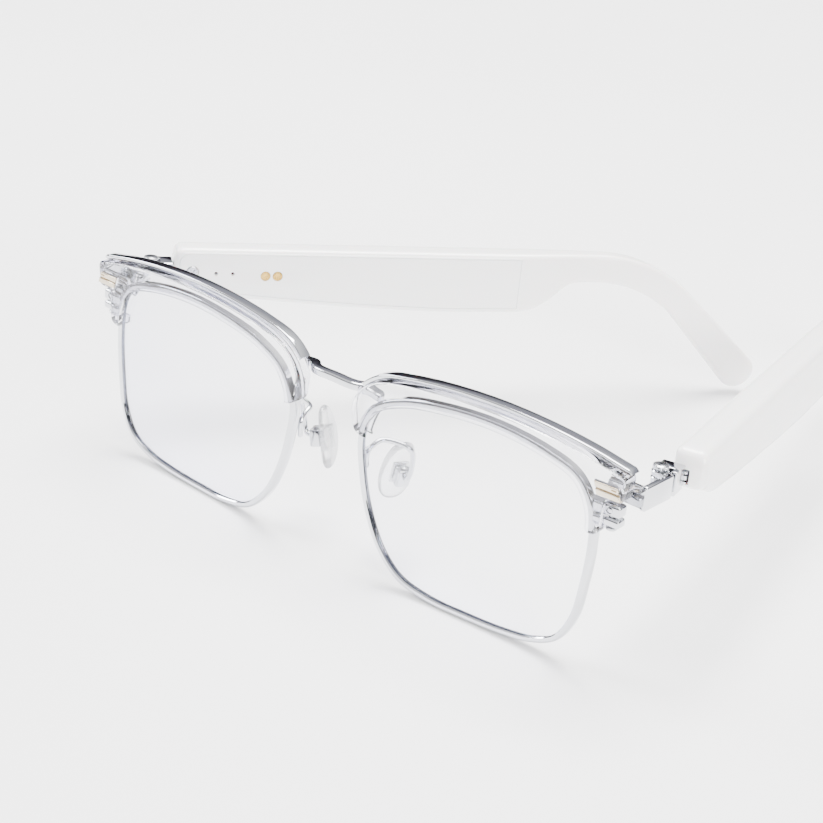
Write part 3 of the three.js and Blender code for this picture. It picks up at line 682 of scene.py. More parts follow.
class Effects:
    """Builds the shared node groups once and hands them out."""

    def __init__(self) -> None:
        """Starts with no group built."""
        self._built: dict[Detail, Tree] = {}

    def get(self, detail: Detail) -> Tree:
        """The group of a detail, built at its first use.

        Args:
            detail: Detail that the group makes.

        Returns:
            The group.
        """
        if detail not in self._built:
            makers = {Detail.HANDLING: self._handling, Detail.BRUSHING: self._brushing,
                      Detail.MOTTLING: self._mottling}
            self._built[detail] = makers[detail]()
        return self._built[detail]

    @staticmethod
    def _noise(tree: Tree, scale: Socket | float, detail: float, stretch: Point3 = (1, 1, 1)) -> Node:
        """Noise on object coordinates, stretched along an axis, whose scale may come from a socket.

        Args:
            tree: Tree that gets the nodes.
            scale: Scale, or the socket that gives it.
            detail: Detail of the noise.
            stretch: Scale along each axis.

        Returns:
            The noise node.
        """
        where = tree.nodes.new("ShaderNodeTexCoord")
        mapping = preset(tree.nodes.new("ShaderNodeMapping"), {"Scale": stretch})
        noise = preset(tree.nodes.new("ShaderNodeTexNoise"), {"Detail": detail})
        link(tree, where, "Object", mapping, "Vector")
        link(tree, mapping, "Vector", noise, "Vector")
        if isinstance(scale, float):
            noise.inputs["Scale"].default_value = scale
        else:
            tree.links.new(scale, noise.inputs["Scale"])
        return noise

    @staticmethod
    def _ramp(tree: Tree, value: Node, enter: Node, low: str, high: str) -> Node:
        """Maps a noise's middle span onto the span between two inputs of the group.

        Args:
            tree: Tree that gets the node.
            value: The noise node.
            enter: The group's input node.
            low: Input that gives the low end.
            high: Input that gives the high end.

        Returns:
            The new node.
        """
        node = preset(tree.nodes.new("ShaderNodeMapRange"),
                      {"From Min": NOISE_SPAN[0], "From Max": NOISE_SPAN[1]})
        link(tree, value, "Fac", node, "Value")
        link(tree, enter, low, node, "To Min")
        link(tree, enter, high, node, "To Max")
        return node

    def _handling(self) -> Tree:
        """Finger smears and hairline scratches on a polished surface: roughness and a fine height.

        Returns:
            The group.
        """
        inputs = (("Scale", 90.0), ("Clean", 0.05), ("Smeared", 0.2))
        tree, enter, leave = Effect(Detail.HANDLING.value, inputs, ("Roughness", "Height")).tree()
        smear = self._noise(tree, enter.outputs["Scale"], 5)
        fine = self._noise(tree, 1.0, 3, (400, 60, 2500))
        link(tree, self._ramp(tree, smear, enter, "Clean", "Smeared"), "Result", leave, "Roughness")
        link(tree, fine, "Fac", leave, "Height")
        return tree

    def _brushing(self) -> Tree:
        """Fine turned or brushed lines: roughness and height.

        Returns:
            The group.
        """
        inputs = (("Scale", 1.0), ("Low", 0.2), ("High", 0.4))
        tree, enter, leave = Effect(Detail.BRUSHING.value, inputs, ("Roughness", "Height")).tree()
        lines = self._noise(tree, enter.outputs["Scale"], 4, (300, 300, 6000))
        link(tree, self._ramp(tree, lines, enter, "Low", "High"), "Result", leave, "Roughness")
        link(tree, lines, "Fac", leave, "Height")
        return tree

    def _mottling(self) -> Tree:
        """Broad and fine unevenness of moulded plastic: a tone near one and an orange-peel height.

        Returns:
            The group.
        """
        inputs = (("Scale", 40.0), ("Dark", 0.97), ("Light", 1.0))
        tree, enter, leave = Effect(Detail.MOTTLING.value, inputs, ("Tone", "Height")).tree()
        broad = self._noise(tree, enter.outputs["Scale"], 3)
        peel = self._noise(tree, 900.0, 2)
        link(tree, self._ramp(tree, broad, enter, "Dark", "Light"), "Result", leave, "Tone")
        link(tree, peel, "Fac", leave, "Height")
        return tree


EFFECTS = Effects()


@dataclass(frozen=True)
class Finish:
    """A surface finish: a Principled shader with a shared effect for its fine detail."""

    slot: str
    color: Point3
    second: Point3
    metallic: float = 0.0
    low: float = 0.1
    high: float = 0.2
    effect: Detail = Detail.HANDLING
    scale: float = 90.0
    bump: float = 0.02
    transmission: float = 0.0
    ior: float = 1.5
    coat: float = 0.0
    coat_roughness: float = 0.05
    subsurface: float = 0.0
    shadow: float = 1.0
    # Colour of the painted edge shade where the surface turns away from the view.
    edge: Point3 | None = None

    def build(self, name: str) -> bpy.types.Material:
        """Makes the material.

        Args:
            name: Material name.

        Returns:
            The material with its nodes.
        """
        material = bpy.data.materials.new(name)
        material.use_nodes = True
        tree = material.node_tree
        shader = tree.nodes["Principled BSDF"]
        preset(shader, {
            "Metallic": self.metallic, "Transmission Weight": self.transmission, "IOR": self.ior,
            "Coat Weight": self.coat, "Coat Roughness": self.coat_roughness,
            "Subsurface Weight": self.subsurface, "Subsurface Scale": SCATTER_DEPTH})
        self._color(tree, shader)
        self._relief(tree, shader)
        if self.shadow < 1:
            self._light_shadow(tree, shader)
        return material

    def _group(self, tree: Tree, detail: Detail) -> Node:
        """Places a shared effect in the material.

        Args:
            tree: The material's tree.
            detail: Detail that the group makes.

        Returns:
            The group node.
        """
        node = tree.nodes.new("ShaderNodeGroup")
        node.node_tree = EFFECTS.get(detail)
        return node

    def _color(self, tree: Tree, shader: Node) -> None:
        """Base colour that drifts slightly between two tones.

        Args:
            tree: The material's tree.
            shader: The Principled shader.
        """
        tone = preset(self._group(tree, Detail.MOTTLING), {"Scale": self.scale * 0.6, "Dark": 0.0})
        mix = color_mix(tree, self.color)
        mix.inputs["A"].default_value = (*self.second, 1)
        link(tree, tone, "Tone", mix, "Factor")
        link(tree, mix, "Result", shader, "Base Color")
        if self.edge is not None:
            self._edge_tint(tree, shader, mix)

    def _edge_tint(self, tree: Tree, shader: Node, color: Node) -> None:
        """Painted edge shade: deepens and tints the colour where the surface turns away from the view,
        standing in for the dark edges that clear pieces show in the light.

        Args:
            tree: The material's tree.
            shader: The Principled shader.
            color: Node that gives the plain colour.
        """
        facing = preset(tree.nodes.new("ShaderNodeLayerWeight"), {"Blend": 0.5})
        spread = preset(tree.nodes.new("ShaderNodeMapRange"),
                        {"From Min": PAINTED_EDGE_SHADE_FADE[0], "From Max": PAINTED_EDGE_SHADE_FADE[1]})
        mix = color_mix(tree, self.edge)
        link(tree, facing, "Facing", spread, "Value")
        link(tree, spread, "Result", mix, "Factor")
        link(tree, color, "Result", mix, "A")
        link(tree, mix, "Result", shader, "Base Color")

    def _relief(self, tree: Tree, shader: Node) -> None:
        """Uneven roughness and a fine bump from the finish's own effect.

        Args:
            tree: The material's tree.
            shader: The Principled shader.
        """
        bump = preset(tree.nodes.new("ShaderNodeBump"),
                      {"Strength": self.bump, "Distance": BUMP_DISTANCE})
        if self.effect is Detail.BRUSHING:
            values = {"Low": self.low, "High": self.high, "Scale": 1.0}
            surface = preset(self._group(tree, Detail.BRUSHING), values)
        else:
            values = {"Clean": self.low, "Smeared": self.high, "Scale": self.scale}
            surface = preset(self._group(tree, Detail.HANDLING), values)
        height = self._group(tree, Detail.MOTTLING) if self.effect is Detail.MOTTLING else surface
        link(tree, surface, "Roughness", shader, "Roughness")
        link(tree, height, "Height", bump, "Height")
        link(tree, bump, "Normal", shader, "Normal")

    def _light_shadow(self, tree: Tree, shader: Node) -> None:
        """Lets most light through in shadows, as clear pieces do once the light has bent through them.

        Args:
            tree: The material's tree.
            shader: The Principled shader.
        """
        path = tree.nodes.new("ShaderNodeLightPath")
        clear = preset(tree.nodes.new("ShaderNodeBsdfTransparent"),
                       {"Color": (*(1 - self.shadow * c for c in SHADOW_TINT), 1)})
        mix = tree.nodes.new("ShaderNodeMixShader")
        link(tree, path, "Is Shadow Ray", mix, "Fac")
        link(tree, shader, "BSDF", mix, 1)
        link(tree, clear, "BSDF", mix, 2)
        link(tree, mix, "Shader", tree.nodes["Material Output"], "Surface")


FINISHES: dict[str, Finish] = {
    "chrome": Finish("chrome", (0.66, 0.67, 0.70), (0.58, 0.59, 0.62), 1, 0.04, 0.11, scale=160, bump=0.03),
    "steel": Finish("steel", (0.60, 0.61, 0.63), (0.48, 0.49, 0.51), 1, 0.16, 0.30,
                    Detail.BRUSHING, bump=0.12),
    "rivet": Finish("rivet", (0.72, 0.63, 0.50), (0.60, 0.52, 0.40), 1, 0.16, 0.30,
                    Detail.BRUSHING, bump=0.15),
    "gold": Finish("gold", (0.70, 0.47, 0.14), (0.58, 0.36, 0.09), 1, 0.18, 0.32, scale=220, bump=0.05),
    # The edge colours of the clear finishes below are painted edge shade.
    "lens": Finish("lens", (0.985, 0.99, 1.0), (0.97, 0.98, 1.0), 0, 0.0, 0.012, scale=30, bump=0.004,
                   transmission=1, ior=1.5, shadow=0.15, edge=(0.40, 0.41, 0.78)),
    "acetate": Finish("acetate", (0.975, 0.975, 0.99), (0.93, 0.93, 0.97), 0, 0.0, 0.02, scale=60, bump=0.01,
                      transmission=1, ior=1.49, shadow=0.6, edge=(0.20, 0.20, 0.38)),
    "silicone": Finish("silicone", (0.97, 0.975, 0.975), (0.94, 0.945, 0.95), 0, 0.10, 0.22, scale=120,
                       bump=0.10, transmission=0.92, ior=1.41, shadow=0.6, edge=(0.26, 0.27, 0.31)),
    "temple_plastic": Finish("temple_plastic", (0.965, 0.948, 0.94), (0.95, 0.932, 0.924), 0, 0.16, 0.26,
                             Detail.MOTTLING, scale=45, bump=0.10, coat=0.5, coat_roughness=0.06,
                             subsurface=0.15),
    "board": Finish("board", (0.03, 0.20, 0.09), (0.02, 0.13, 0.06), 0, 0.3, 0.5, scale=900, bump=0.3),
    "cell": Finish("cell", (0.62, 0.65, 0.70), (0.50, 0.53, 0.58), 0.7, 0.25, 0.45, scale=300, bump=0.3),
    "black_plastic": Finish("black_plastic", (0.03, 0.03, 0.035), (0.015, 0.015, 0.018), 0, 0.35, 0.55,
                            Detail.MOTTLING, scale=400, bump=0.4),
    "red_gauze": Finish("black_plastic", (0.16, 0.015, 0.02), (0.07, 0.006, 0.01), 0, 0.4, 0.6,
                        scale=2500, bump=0.6),
    "film": Finish("film", (0.46, 0.24, 0.06), (0.36, 0.17, 0.04), 0, 0.25, 0.4,
                   scale=500, bump=0.1, coat=0.3),
}
_MATERIALS: dict[str, bpy.types.Material] = {}


def material_for(finish: str) -> bpy.types.Material:
    """The material of a finish, made once.

    Args:
        finish: Name of the finish.

    Returns:
        The material.
    """
    if finish not in _MATERIALS:
        _MATERIALS[finish] = FINISHES[finish].build(finish)
    return _MATERIALS[finish]


def dress(obj: Piece, finish: str) -> None:
    """Gives an object the material of a finish.

    Args:
        obj: Object that is dressed.
        finish: Name of the finish.
    """
    obj.data.materials.clear()
    obj.data.materials.append(material_for(finish))


def settle(obj: Piece, place: Matrix, finish: str, body: str, *nodes: str) -> Piece:
    """Finishes a piece: places it, smooths it, dresses it and lets it ride.

    Args:
        obj: Piece in millimetres, in its own frame.
        place: Matrix from that frame to the row frame, in metres.
        finish: Name of its finish.
        body: Body that it moves with.
        nodes: Engineering nodes that it stands for.

    Returns:
        The piece.
    """
    obj.data.transform(place)
    if place.determinant() < 0:
        obj.data.flip_normals()
    obj.data.polygons.foreach_set("use_smooth", [True] * len(obj.data.polygons))
    obj.data.set_sharp_from_angle(angle=SMOOTH_ANGLE)
    dress(obj, finish)
    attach(obj, body)
    if nodes:
        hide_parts(*nodes)
    LOG.info("%s: %d faces on %s", obj.name, len(obj.data.polygons), body)
    return obj


def settle_rows(side: Side, rows: Iterable[tuple[str, str, Callable[[str], Piece], Matrix, str]]) -> None:
    """Builds and finishes one side's pieces.

    Args:
        side: Side that ends their names.
        rows: Base name, finish, maker, place and body of each piece.
    """
    for base, finish, maker, place, body in rows:
        node = f"{base}_{side.label}"
        settle(maker(f"{node}_fine"), place, finish, body, node)


# --------------------------------------------------------------------- shared lens shape
@dataclass
class LensSize:
    """Size of one lens and of the rim that holds it, in millimetres."""

    width: float = 55.0
    height: float = 43.0
    thickness: float = 1.3
    bridge: float = 19.2
    rim_depth: float = 2.4
    rim_wall: float = 0.6
    lip: float = 0.5
    seat: float = 0.3
    samples: int = 200
    shares: tuple[Point2, ...] = (
        (0.000, 0.70), (0.015, 0.50), (0.055, 0.32), (0.117, 0.165), (0.213, 0.048), (0.35, 0.004),
        (0.50, 0.0), (0.69, 0.010), (0.81, 0.036), (0.907, 0.098), (0.964, 0.225), (0.988, 0.40),
        (1.0, 0.60), (0.987, 0.79), (0.925, 0.91), (0.80, 0.966), (0.58, 1.0), (0.36, 0.985),
        (0.18, 0.94), (0.055, 0.855))

    @property
    def top(self) -> float:
        """Height of the lens's highest point over its centre."""
        return self.height / 2

    @property
    def edge(self) -> float:
        """Distance of the lens's outermost point from its centre."""
        return self.width / 2

    @property
    def rim_out(self) -> float:
        """How far the rim reaches beyond the lens edge."""
        return self.seat + self.rim_wall

    def outline(self, distance: float = 0.0) -> list[Point2]:
        """Lens outline moved outwards, anticlockwise from the nasal side.

        Args:
            distance: How far out, in millimetres.

        Returns:
            Points sideways and up from the lens centre.
        """
        corners = [((u - 0.5) * self.width, (v - 0.5) * self.height) for u, v in self.shares]
        line = spline(corners, self.samples, closed=True)
        n = len(line)
        moved = []
        for i, p in enumerate(line):
            along = (line[(i + 1) % n] - line[i - 1]).normalized()
            moved.append((p.x + along.y * distance, p.y - along.x * distance))
        return moved


@dataclass
class Layout:
    """Where each sub-assembly's own frame lies in the row frame, found from the joints."""

    joints: dict[str, dict]
    lens: LensSize
    hinge_at: Point3 = (69.5, 15.8, 37.3)
    pad_at: Point3 = (9.8, 10.2, 19.5)
    wrap: float = math.radians(3)
    lean: float = math.radians(3)
    pad_splay: float = math.radians(24)
    pad_flare: float = math.radians(12)
    splay: dict[Side, float] = field(
        default_factory=lambda: {Side.LEFT: math.radians(12), Side.RIGHT: math.radians(38)})

    def pivot(self, side: Side) -> Matrix:
        """Frame on a hinge axis: X outward, Y back, Z along the hinge screw.

        Args:
            side: The wearer's side.

        Returns:
            The frame, in metres.
        """
        joint = self.joints[f"temple_{side.label}_fold"]
        axis = Vector(joint["axis"])
        droop = math.atan2(abs(axis.y), abs(axis.z))
        return Matrix.Translation(joint["pos_m"]) @ Matrix.Rotation(-droop, 4, "X")

    def front(self) -> Matrix:
        """Frame of the front, in metres, before any mirror."""
        pivot = Vector(self.joints["temple_left_fold"]["pos_m"])
        return Matrix.Translation(pivot - Vector(self.hinge_at) * MM) @ Matrix.Rotation(-self.lean, 4, "X")

    def _placed(self, base: Matrix, side: Side, at: Sequence[float], turn: Matrix) -> Matrix:
        """Frame of a mirrored piece at a millimetre place inside a base frame."""
        move = Matrix.Translation(Vector((side.value * at[0], at[1], at[2])) * MM)
        return base @ move @ turn @ side.mirror @ Matrix.Scale(MM, 4)

    def bridge(self) -> Matrix:
        """Frame of the bridge, millimetres in."""
        return self.front() @ Matrix.Scale(MM, 4)

    def half(self, side: Side) -> Matrix:
        """Frame at the centre of one lens, millimetres in."""
        at = (self.lens.bridge / 2 + self.lens.edge, 0, self.lens.top + self.lens.rim_out)
        return self._placed(self.front(), side, at, Matrix.Rotation(side.value * self.wrap, 4, "Z"))

    def pad(self, side: Side) -> Matrix:
        """Frame at the centre of one nose pad, millimetres in.

        Args:
            side: The wearer's side.

        Returns:
            The frame.
        """
        turn = (Matrix.Rotation(side.value * self.pad_flare, 4, "Y")
                @ Matrix.Rotation(-side.value * self.pad_splay, 4, "Z"))
        return self._placed(self.front(), side, self.pad_at, turn)

    def hinge(self, side: Side) -> Matrix:
        """Frame of the endpiece and the hinge screw, millimetres in."""
        return self._placed(self.pivot(side), side, (0, 0, 0), Matrix.Identity(4))

    def temple(self, side: Side) -> Matrix:
        """Frame of one temple, millimetres in."""
        return self._placed(self.pivot(side), side, (0, 0, 0),
                            Matrix.Rotation(side.value * self.splay[side], 4, "Z"))


# ------------------------------------------------------------------------------ front
@dataclass
class FrontHalf:
    """One rim with its lens, lock, acetate brow bar, metal trim and rivet."""

    layout: Layout
    side: Side
    bulge: float = 1.5
    brow_front: float = -2.2
    brow_back: float = 2.0
    brow_overlap: float = 1.0
    reach: float = 6.4
    brow_end: float = 5.4
    nasal_claw: float = 12.9
    temporal_claw: float = 14.0
    trim_height: float = 0.8
    trim_depth: float = 2.6
    trim_proud: float = 0.25
    lock_width: float = 4.2
    lock_upper: float = 2.4
    lock_lower: float = 1.8
    lock_slit: float = 0.4
    lock_drop: float = 6.9
    rivet_width: float = 5.2
    rivet_height: float = 2.6
    rivet_skew: float = 0.9
    play: float = 0.06
    top_samples: int = 72

    @property
    def lens(self) -> LensSize:
        """Sizes of the lens."""
        return self.layout.lens

    def build(self) -> None:
        """Builds and dresses every piece of this half."""
        place = self.layout.half(self.side)
        settle_rows(self.side, ((base, finish, maker, place, "front") for base, finish, maker in (
            ("lens", "lens", self.lens_body), ("rim", "chrome", self.rim_body),
            ("rim_lock_screw", "steel", self.lock_screw), ("brow", "acetate", self.brow_body),
            ("brow_trim", "chrome", self.trim_body), ("brow_rivet", "rivet", self.rivet_body))))

    def lens_body(self, name: str) -> Piece:
        """Curved lens with a bevelled edge.

        Args:
            name: Object name.

        Returns:
            The piece, in millimetres.
        """
        half = self.lens.thickness / 2
        shares = (1.0, 0.985, 0.95, 0.88, 0.76, 0.60, 0.42, 0.24, 0.10, 0.02)
        return pillow(name, self.lens.outline(-0.05),
                      lambda s: -(half if s < 1 else half - 0.2) - self.bulge * (1 - s * s),
                      lambda s: (half if s < 1 else half - 0.2) - self.bulge * (1 - s * s), shares)

    def lock_x(self) -> float:
        """Distance of the lock screw from the lens centre."""
        return self.lens.edge + self.lens.rim_out + self.lock_width / 2 + 0.5

    def lock_top(self) -> float:
        """Top of the lock blocks over the lens centre."""
        return self.lens.top - self.lock_drop

    def lock_low(self) -> float:
        """Underside of the lock blocks from the lens centre."""
        return self.lock_top() - self.lock_upper - self.lock_slit - self.lock_lower

    def rim_body(self, name: str) -> Piece:
        """Rounded wire rim with its lens groove, and the split lock blocks at the outer side.

        Args:
            name: Object name.

        Returns:
            The piece, in millimetres.
        """
        out, half, lip = self.lens.rim_out, self.lens.rim_depth / 2, -self.lens.lip
        groove = self.lens.thickness / 2 + 0.25
        section = ((lip, -groove), (lip, -half + 0.2), (lip + 0.2, -half), (0.2, -half), (0.6, -half + 0.14),
                   (out - 0.08, -half + 0.45), (out, -0.35), (out, 0.35), (out - 0.08, half - 0.45),
                   (0.6, half - 0.14), (0.2, half), (lip + 0.2, half), (lip, half - 0.2), (lip, groove),
                   (self.lens.seat, groove), (self.lens.seat, -groove))
        lines = [self.lens.outline(d) for d, _ in section]
        rings = [[Vector((lines[k][i][0], section[k][1], lines[k][i][1])) for k in range(len(section))]
                 for i in range(self.lens.samples)]
        ring = loft(name, rings, closed=True)
        top = self.lock_top()
        mid = top - self.lock_upper
        low = self.lock_low()
        outer = self.lock_x() + self.lock_width / 2
        inner = self.lens.edge - 0.35
        upper = block("upper", (inner, -half, mid), (outer, half + 0.3, top), 0.55, 4)
        lower = block("lower", (inner, -half, low), (outer, half + 0.3, mid - self.lock_slit), 0.55, 4)
        opening = plate("opening", self.lens.outline(lip), -5, 5)
        bore = rod("bore", 0.8, low - 1, top - 0.6, centre=(self.lock_x(), 0.15, 0))
        at = (self.lock_x() - 0.2, 0, top - 1.15)
        dimple = rod("dimple", 0.75, -half - 1, -half + 0.25, Axis.Y, at)
        blocks = cut(unite(upper, lower), opening, bore, dimple)
        button = lathe("button", [(0, -half - 0.02), (0.35, -half), (0.6, -half + 0.12),
                                  (0.6, -half + 0.35), (0, -half + 0.35)], 28, Axis.Y, at)
        return unite(ring, blocks, button)

    def lock_screw(self, name: str) -> Piece:
        """Slotted screw that closes the rim on the lens.

        Args:
            name: Object name.

        Returns:
            The piece, in millimetres.
        """
        top, low = self.lock_top(), self.lock_low() - 0.3
        centre = (self.lock_x(), 0.15, 0)
        head = [(0, low - 0.7), (0.8, low - 0.7), (1.05, low - 0.5), (1.1, low - 0.1), (1.0, low)]
        shank = [(0.7, low), (0.7, top - 1.0), (0.6, top - 0.9), (0, top - 0.9)]
        body = lathe(name, [*head, *shank], 36, Axis.Z, centre)
        slot = block("slot", (centre[0] - 2, -0.02, low - 1.2), (centre[0] + 2, 0.32, low - 0.4))
        return cut(body, slot)

    def top_line(self) -> list[Point2]:
        """The brow's outer edge, from the nasal claw over the top to the outer corner.

        Returns:
            Points from the lens centre.
        """
        n, t = -self.lens.edge, self.lens.top
        outer = self.lens.edge + self.reach
        points = ((n - 2.1, t - 5.6), (n - 0.8, t - 3.2), (n + 3.2, t - 0.2), (n + 10, t + 1.4),
                  (n + 20, t + 2.6), (n + 31, t + 3.0), (n + 42, t + 2.5), (n + 52, t + 1.3),
                  (outer - 0.6, t - 0.4))
        return [(p.x, p.y) for p in spline(points, self.top_samples)]

    def brow_outline(self) -> list[Point2]:
        """Front view of the acetate: over the top, down the outer claw and back along the lens.

        Returns:
            Points from the lens centre.
        """
        nasal, top = -self.lens.edge, self.lens.top
        temporal = self.lens.edge + self.lens.rim_out + 0.3
        outer = self.lens.edge + self.reach
        tip_n, tip_t = top - self.nasal_claw, top - self.temporal_claw
        under = top - self.brow_end - 0.6
        shape = Outline((nasal + 1.4, tip_n))
        shape.quad((nasal - 1.5, tip_n + 0.1), (nasal - 1.9, tip_n + 2.4)).line((nasal - 2.3, top - 7))
        shape.line(*self.top_line())
        shape.quad((outer, top - 0.6), (outer, top - 1.8)).line((outer - 0.3, under + 1.3))
        shape.quad((outer - 0.4, under), (outer - 1.8, under)).line((temporal + 2.4, under + 0.1))
        shape.quad((temporal + 1.3, under + 0.1), (temporal + 1.1, under - 1.2))
        shape.line((temporal + 0.9, tip_t + 2)).quad((temporal + 0.7, tip_t), (temporal - 1.6, tip_t + 0.1))
        inner = self.lens.outline(-self.brow_overlap)
        first = next(i for i, p in enumerate(inner) if p[0] > 0 and p[1] > tip_t + 0.3)
        return shape.line(*(p for p in inner[first:] if p[0] > 0 or p[1] > tip_n + 0.3)).points

    def rivet_at(self) -> Point2:
        """Centre of the rivet from the lens centre."""
        return self.lens.edge + self.reach - 3.4, self.lens.top - 3.9

    def rivet_outline(self, grow: float, low: float = -1.0, high: float = 1.0) -> list[Point2]:
        """Slanted rectangle of the rivet between two shares of its height.

        Args:
            grow: How far each side moves out.
            low: Lower share, from -1.
            high: Upper share, up to 1.

        Returns:
            Corners from the lens centre.
        """
        u, v = self.rivet_at()
        w, h, k = self.rivet_width / 2 + grow, self.rivet_height / 2 + grow, self.rivet_skew / 2
        return [(u - w - k * a, v + h * a) if s < 0 else (u + w - k * a, v + h * a)
                for s, a in ((-1, low), (1, low), (1, high), (-1, high))]

    def brow_body(self, name: str) -> Piece:
        """Acetate brow bar with the bed for the rim, the lock and the rivet.

        Args:
            name: Object name.

        Returns:
            The piece, in millimetres.
        """
        brow = plate(name, self.brow_outline(), self.brow_front, self.brow_back, 0.5, 4)
        half = self.lens.rim_depth / 2 + self.play
        bed = plate("bed", self.lens.outline(self.lens.rim_out + self.play), -half, half)
        edge = self.lens.edge
        lock_bed = block("lock_bed", (edge - 6, -half, self.lock_low() - 0.3),
                         (edge + 9, 6, self.lock_top() + 0.3))
        u, v = self.rivet_at()
        bore = rod("bore", 0.68, -6, 6, Axis.Y, (u, 0, v))
        seat = plate("seat", self.rivet_outline(self.play), self.brow_front - 1, self.brow_front + 0.9)
        return cut(brow, bed, lock_bed, bore, seat)

    def trim_body(self, name: str) -> Piece:
        """Polished strip along the top of the brow, on its rear half, rounded at its outer end.

        Args:
            name: Object name.

        Returns:
            The piece, in millimetres.
        """
        line = self.top_line()[3:]
        last = len(line) - 1
        lower, upper = [], []
        for i, (x, z) in enumerate(line):
            a, b = line[max(i - 1, 0)], line[min(i + 1, last)]
            length = math.hypot(b[0] - a[0], b[1] - a[1])
            nx, nz = -(b[1] - a[1]) / length, (b[0] - a[0]) / length
            lower.append((x + nx * 0.05, z + nz * 0.05))
            upper.append((x + nx * (0.3 + self.trim_height), z + nz * (0.3 + self.trim_height)))
        end = (lower[-1], upper[-1])
        along = (line[-1][0] - line[-2][0], line[-1][1] - line[-2][1])
        size = math.hypot(*along)
        middle = ((end[0][0] + end[1][0]) / 2, (end[0][1] + end[1][1]) / 2)
        tip = (middle[0] + along[0] / size * 0.75, middle[1] + along[1] / size * 0.75)
        outline = [*lower, tip, *reversed(upper)]
        back = self.brow_back + self.trim_proud
        return plate(name, outline, back - self.trim_depth, back, 0.28, 3)

    def rivet_body(self, name: str) -> Piece:
        """Two slanted bars on one base, with the pin through the acetate.

        Args:
            name: Object name.

        Returns:
            The piece, in millimetres.
        """
        u, v = self.rivet_at()
        face = self.brow_front - 0.35
        base = plate(name, self.rivet_outline(-0.02), self.brow_front + 0.15, self.brow_front + 0.8, 0.08, 1)
        upper = plate("upper", self.rivet_outline(0, 0.12, 1.0), face, self.brow_front + 0.5, 0.16, 3)
        lower = plate("lower", self.rivet_outline(0, -1.0, -0.12), face, self.brow_front + 0.5, 0.16, 3)
        pin = rod("pin", 0.6, self.brow_front + 0.4, self.brow_back - 0.1, Axis.Y, (u, 0, v), 0.15)
        slot = block("slot", (u + 0.9, face - 1, v + 0.55), (u + 2.0, face + 0.4, v + 0.85), 0.1)
        return cut(unite(base, upper, lower, pin), slot)


@dataclass
class Bridge:
    """Flat-topped bar between the rims, flattened to an oval tab at each end."""

    layout: Layout
    height: float = 1.7
    depth: float = 2.3
    rise: float = 0.9
    below: float = 4.2
    tab: float = 2.6
    forward: float = -0.4

    def build(self) -> None:
        """Builds and dresses the bridge."""
        lens = self.layout.lens
        half = lens.bridge / 2
        reach = half + self.tab
        z = lens.height + lens.rim_out - self.below
        plan = ((-reach, 2.4), (-half + 1.4, 2.2), (-half + 4.4, 0), (0, self.forward), (half - 4.4, 0),
                (half - 1.4, 2.2), (reach, 2.4))
        path = [Vector((p.x, p.y, z - self.height / 2 + self.rise * (1 - min(abs(p.x) / reach, 1) ** 2)))
                for p in spline(plan, 90)]

        def section(share: float) -> list[Point2]:
            """Rounded bar, closed in at its ends.

            Args:
                share: Share of the way along the bridge.

            Returns:
                Points of the section.
            """
            end = min(share, 1 - share) * 2 * reach
            close = math.sqrt(max(1 - (1 - min(end / 1.1, 1)) ** 2, 0.02))
            crown = 0.25 * math.exp(-((end - 2.4) / 1.6) ** 2)
            tall = (self.height - crown) * (0.5 + 0.5 * close)
            return rounded(self.depth * close, tall, [0.42 * close + 0.02] * 4, 5)

        settle(sweep("bridge_fine", path, section), self.layout.bridge(), "chrome", "front", "bridge")


